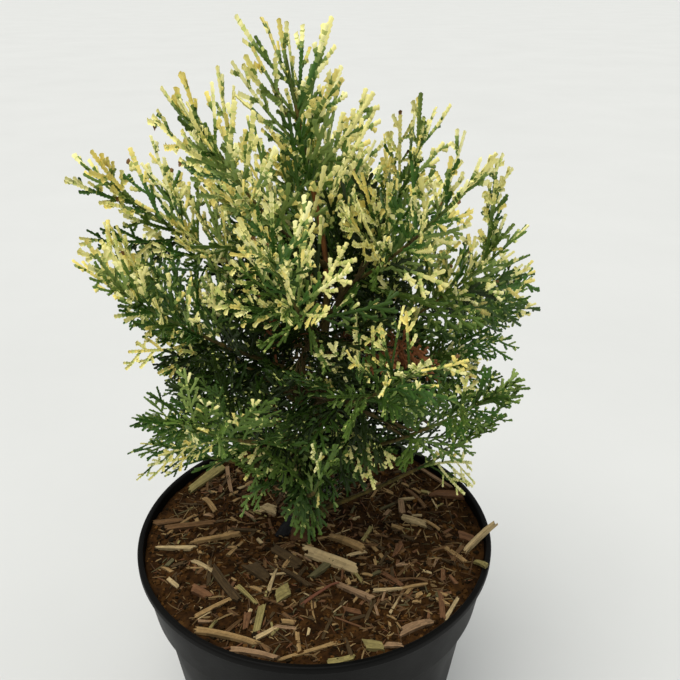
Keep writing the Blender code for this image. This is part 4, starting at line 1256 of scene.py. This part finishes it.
def grow_on_trunk(crown):
    """Coarse sprays on the trunk itself."""
    for k in range(TRUNK_TWIGS):
        draw = random.Random(f"trunk {k}")
        share = 0.10 + (TRUNK_TOP - 0.10) * (k + 0.5) / TRUNK_TWIGS
        turn = k * GOLDEN_ANGLE + 1.0
        points_to = Vector((math.cos(turn), math.sin(turn), draw.uniform(0.5, 1.1) + share)).normalized()
        origin = trunk_point(share)
        length = fitted_length(origin, points_to, draw.uniform(28, 44) * (1 - 0.2 * share) * MM)
        if length:
            rise = rise_of(origin)
            tier = TIERS[min(2, int(3 * share / TRUNK_TOP))]
            crown.spray(draw, origin, points_to, UP, length, 0.6 * rise**3, tier, False,
                        green_of(0.2, rise, draw), inner_withering(rise, draw))


def grow_to_places(crown):
    """The single sprays whose tips stand out, and the tuft that hangs before the trunk's foot."""
    for k, place in enumerate(OUTER_TIPS):
        draw = random.Random(f"outer tip {k}")
        tip = over_soil(*place)
        limb, share = start_for(tip)
        origin = limb.point(share)
        points_to, length = bent_to(origin, tip)
        creamy = max(0.25, creaminess(tip, 1.0, draw))
        # Lighter greens for tips high in the crown, as painted light.
        green = draw.choice(("mid", "cool", "deep") if rise_of(tip) < 0.6 else ("mid", "fresh", "cool"))
        crown.spray(draw, origin, points_to, UP.lerp(limb.along(share), 0.5), length, creamy, limb.tier, True,
                    green, hanging=True, straight=True)
    for k, (height, creamy, place) in enumerate(TUFT):
        draw = random.Random(f"tuft {k}")
        tip = over_soil(*place)
        origin = trunk_point(trunk_share_at(height * MM))
        origin += (tip - origin).normalized() * 4 * MM
        points_to, length = bent_to(origin, tip)
        crown.spray(draw, origin, points_to, UP.cross(points_to), length, creamy, "low", True,
                    draw.choice(("deep", "mid", "deep")), hanging=True, straight=True)


def grow():
    crown = Foliage()
    for limb in LIMBS:
        grow_rule(crown, limb)
        if limb.number < BOUGHS:
            grow_inner(crown, limb)
    grow_on_trunk(crown)
    grow_to_places(crown)
    crown.meshes()


# ---------------------------------------------------------------- studio


FLOOR_HALF = 30.0  # half the floor's width
LENS = 40.13  # mm
DOWNWARD = 25.84  # degrees, how steeply the camera looks down


def soft_light(name, place, strength, angle, colour):
    """A sun that shines from that way over the pot's foot."""
    light = bpy.data.lights.new(name, "SUN")
    light.energy = strength
    light.angle = math.radians(angle)
    light.color = colour
    lamp = bpy.data.objects.new(name, light)
    lamp.location = place
    lamp.rotation_euler = (-Vector(place)).to_track_quat("-Z", "Y").to_euler()
    bpy.context.scene.collection.objects.link(lamp)


def make_studio():
    """A pale floor, soft daylight and the camera that sees what the photo shows."""
    scene = bpy.context.scene
    stops = [(0.3, srgb(202, 203, 201)), (0.7, srgb(206, 207, 205))]
    colour = patterned("studio_floor", 3.0, stops, (0.9, 0.85), 0)
    corners = [(x * FLOOR_HALF, y * FLOOR_HALF, 0) for x, y in ((-1, -1), (1, -1), (1, 1), (-1, 1))]
    mesh_object("studio_floor", corners, [(0, 1, 2, 3)], [colour])
    world = bpy.data.worlds.new("studio")
    world.use_nodes = True
    add_node(world.node_tree, "Background", {"Color": (0.97, 0.99, 0.98, 1), "Strength": 0.60})
    scene.world = world
    soft_light("key", (-0.5, -0.6, 2.0), 2.3, 45, (1.0, 0.98, 0.95))
    soft_light("fill", (1.2, -0.5, 1.1), 0.40, 90, (0.97, 0.98, 1.0))
    camera = bpy.data.cameras.new("camera")
    camera.lens = LENS
    camera.sensor_width = 36
    camera.clip_start = 0.01
    eye = bpy.data.objects.new("camera", camera)
    eye.location = FRONT_EYE
    eye.rotation_euler = (math.radians(90 - DOWNWARD), 0, 0)
    scene.collection.objects.link(eye)
    scene.camera = eye
    scene.view_settings.view_transform = "Standard"


def main():
    make_studio()
    pot = make_pot()
    soil = make_soil()
    depsgraph = bpy.context.evaluated_depsgraph_get()
    carriers = [BVHTree.FromObject(carrier, depsgraph) for carrier in (pot, soil)]
    make_crumbs()
    make_fibres()
    make_chips(carriers)
    make_fallen_twig()
    make_wood()
    grow()


main()
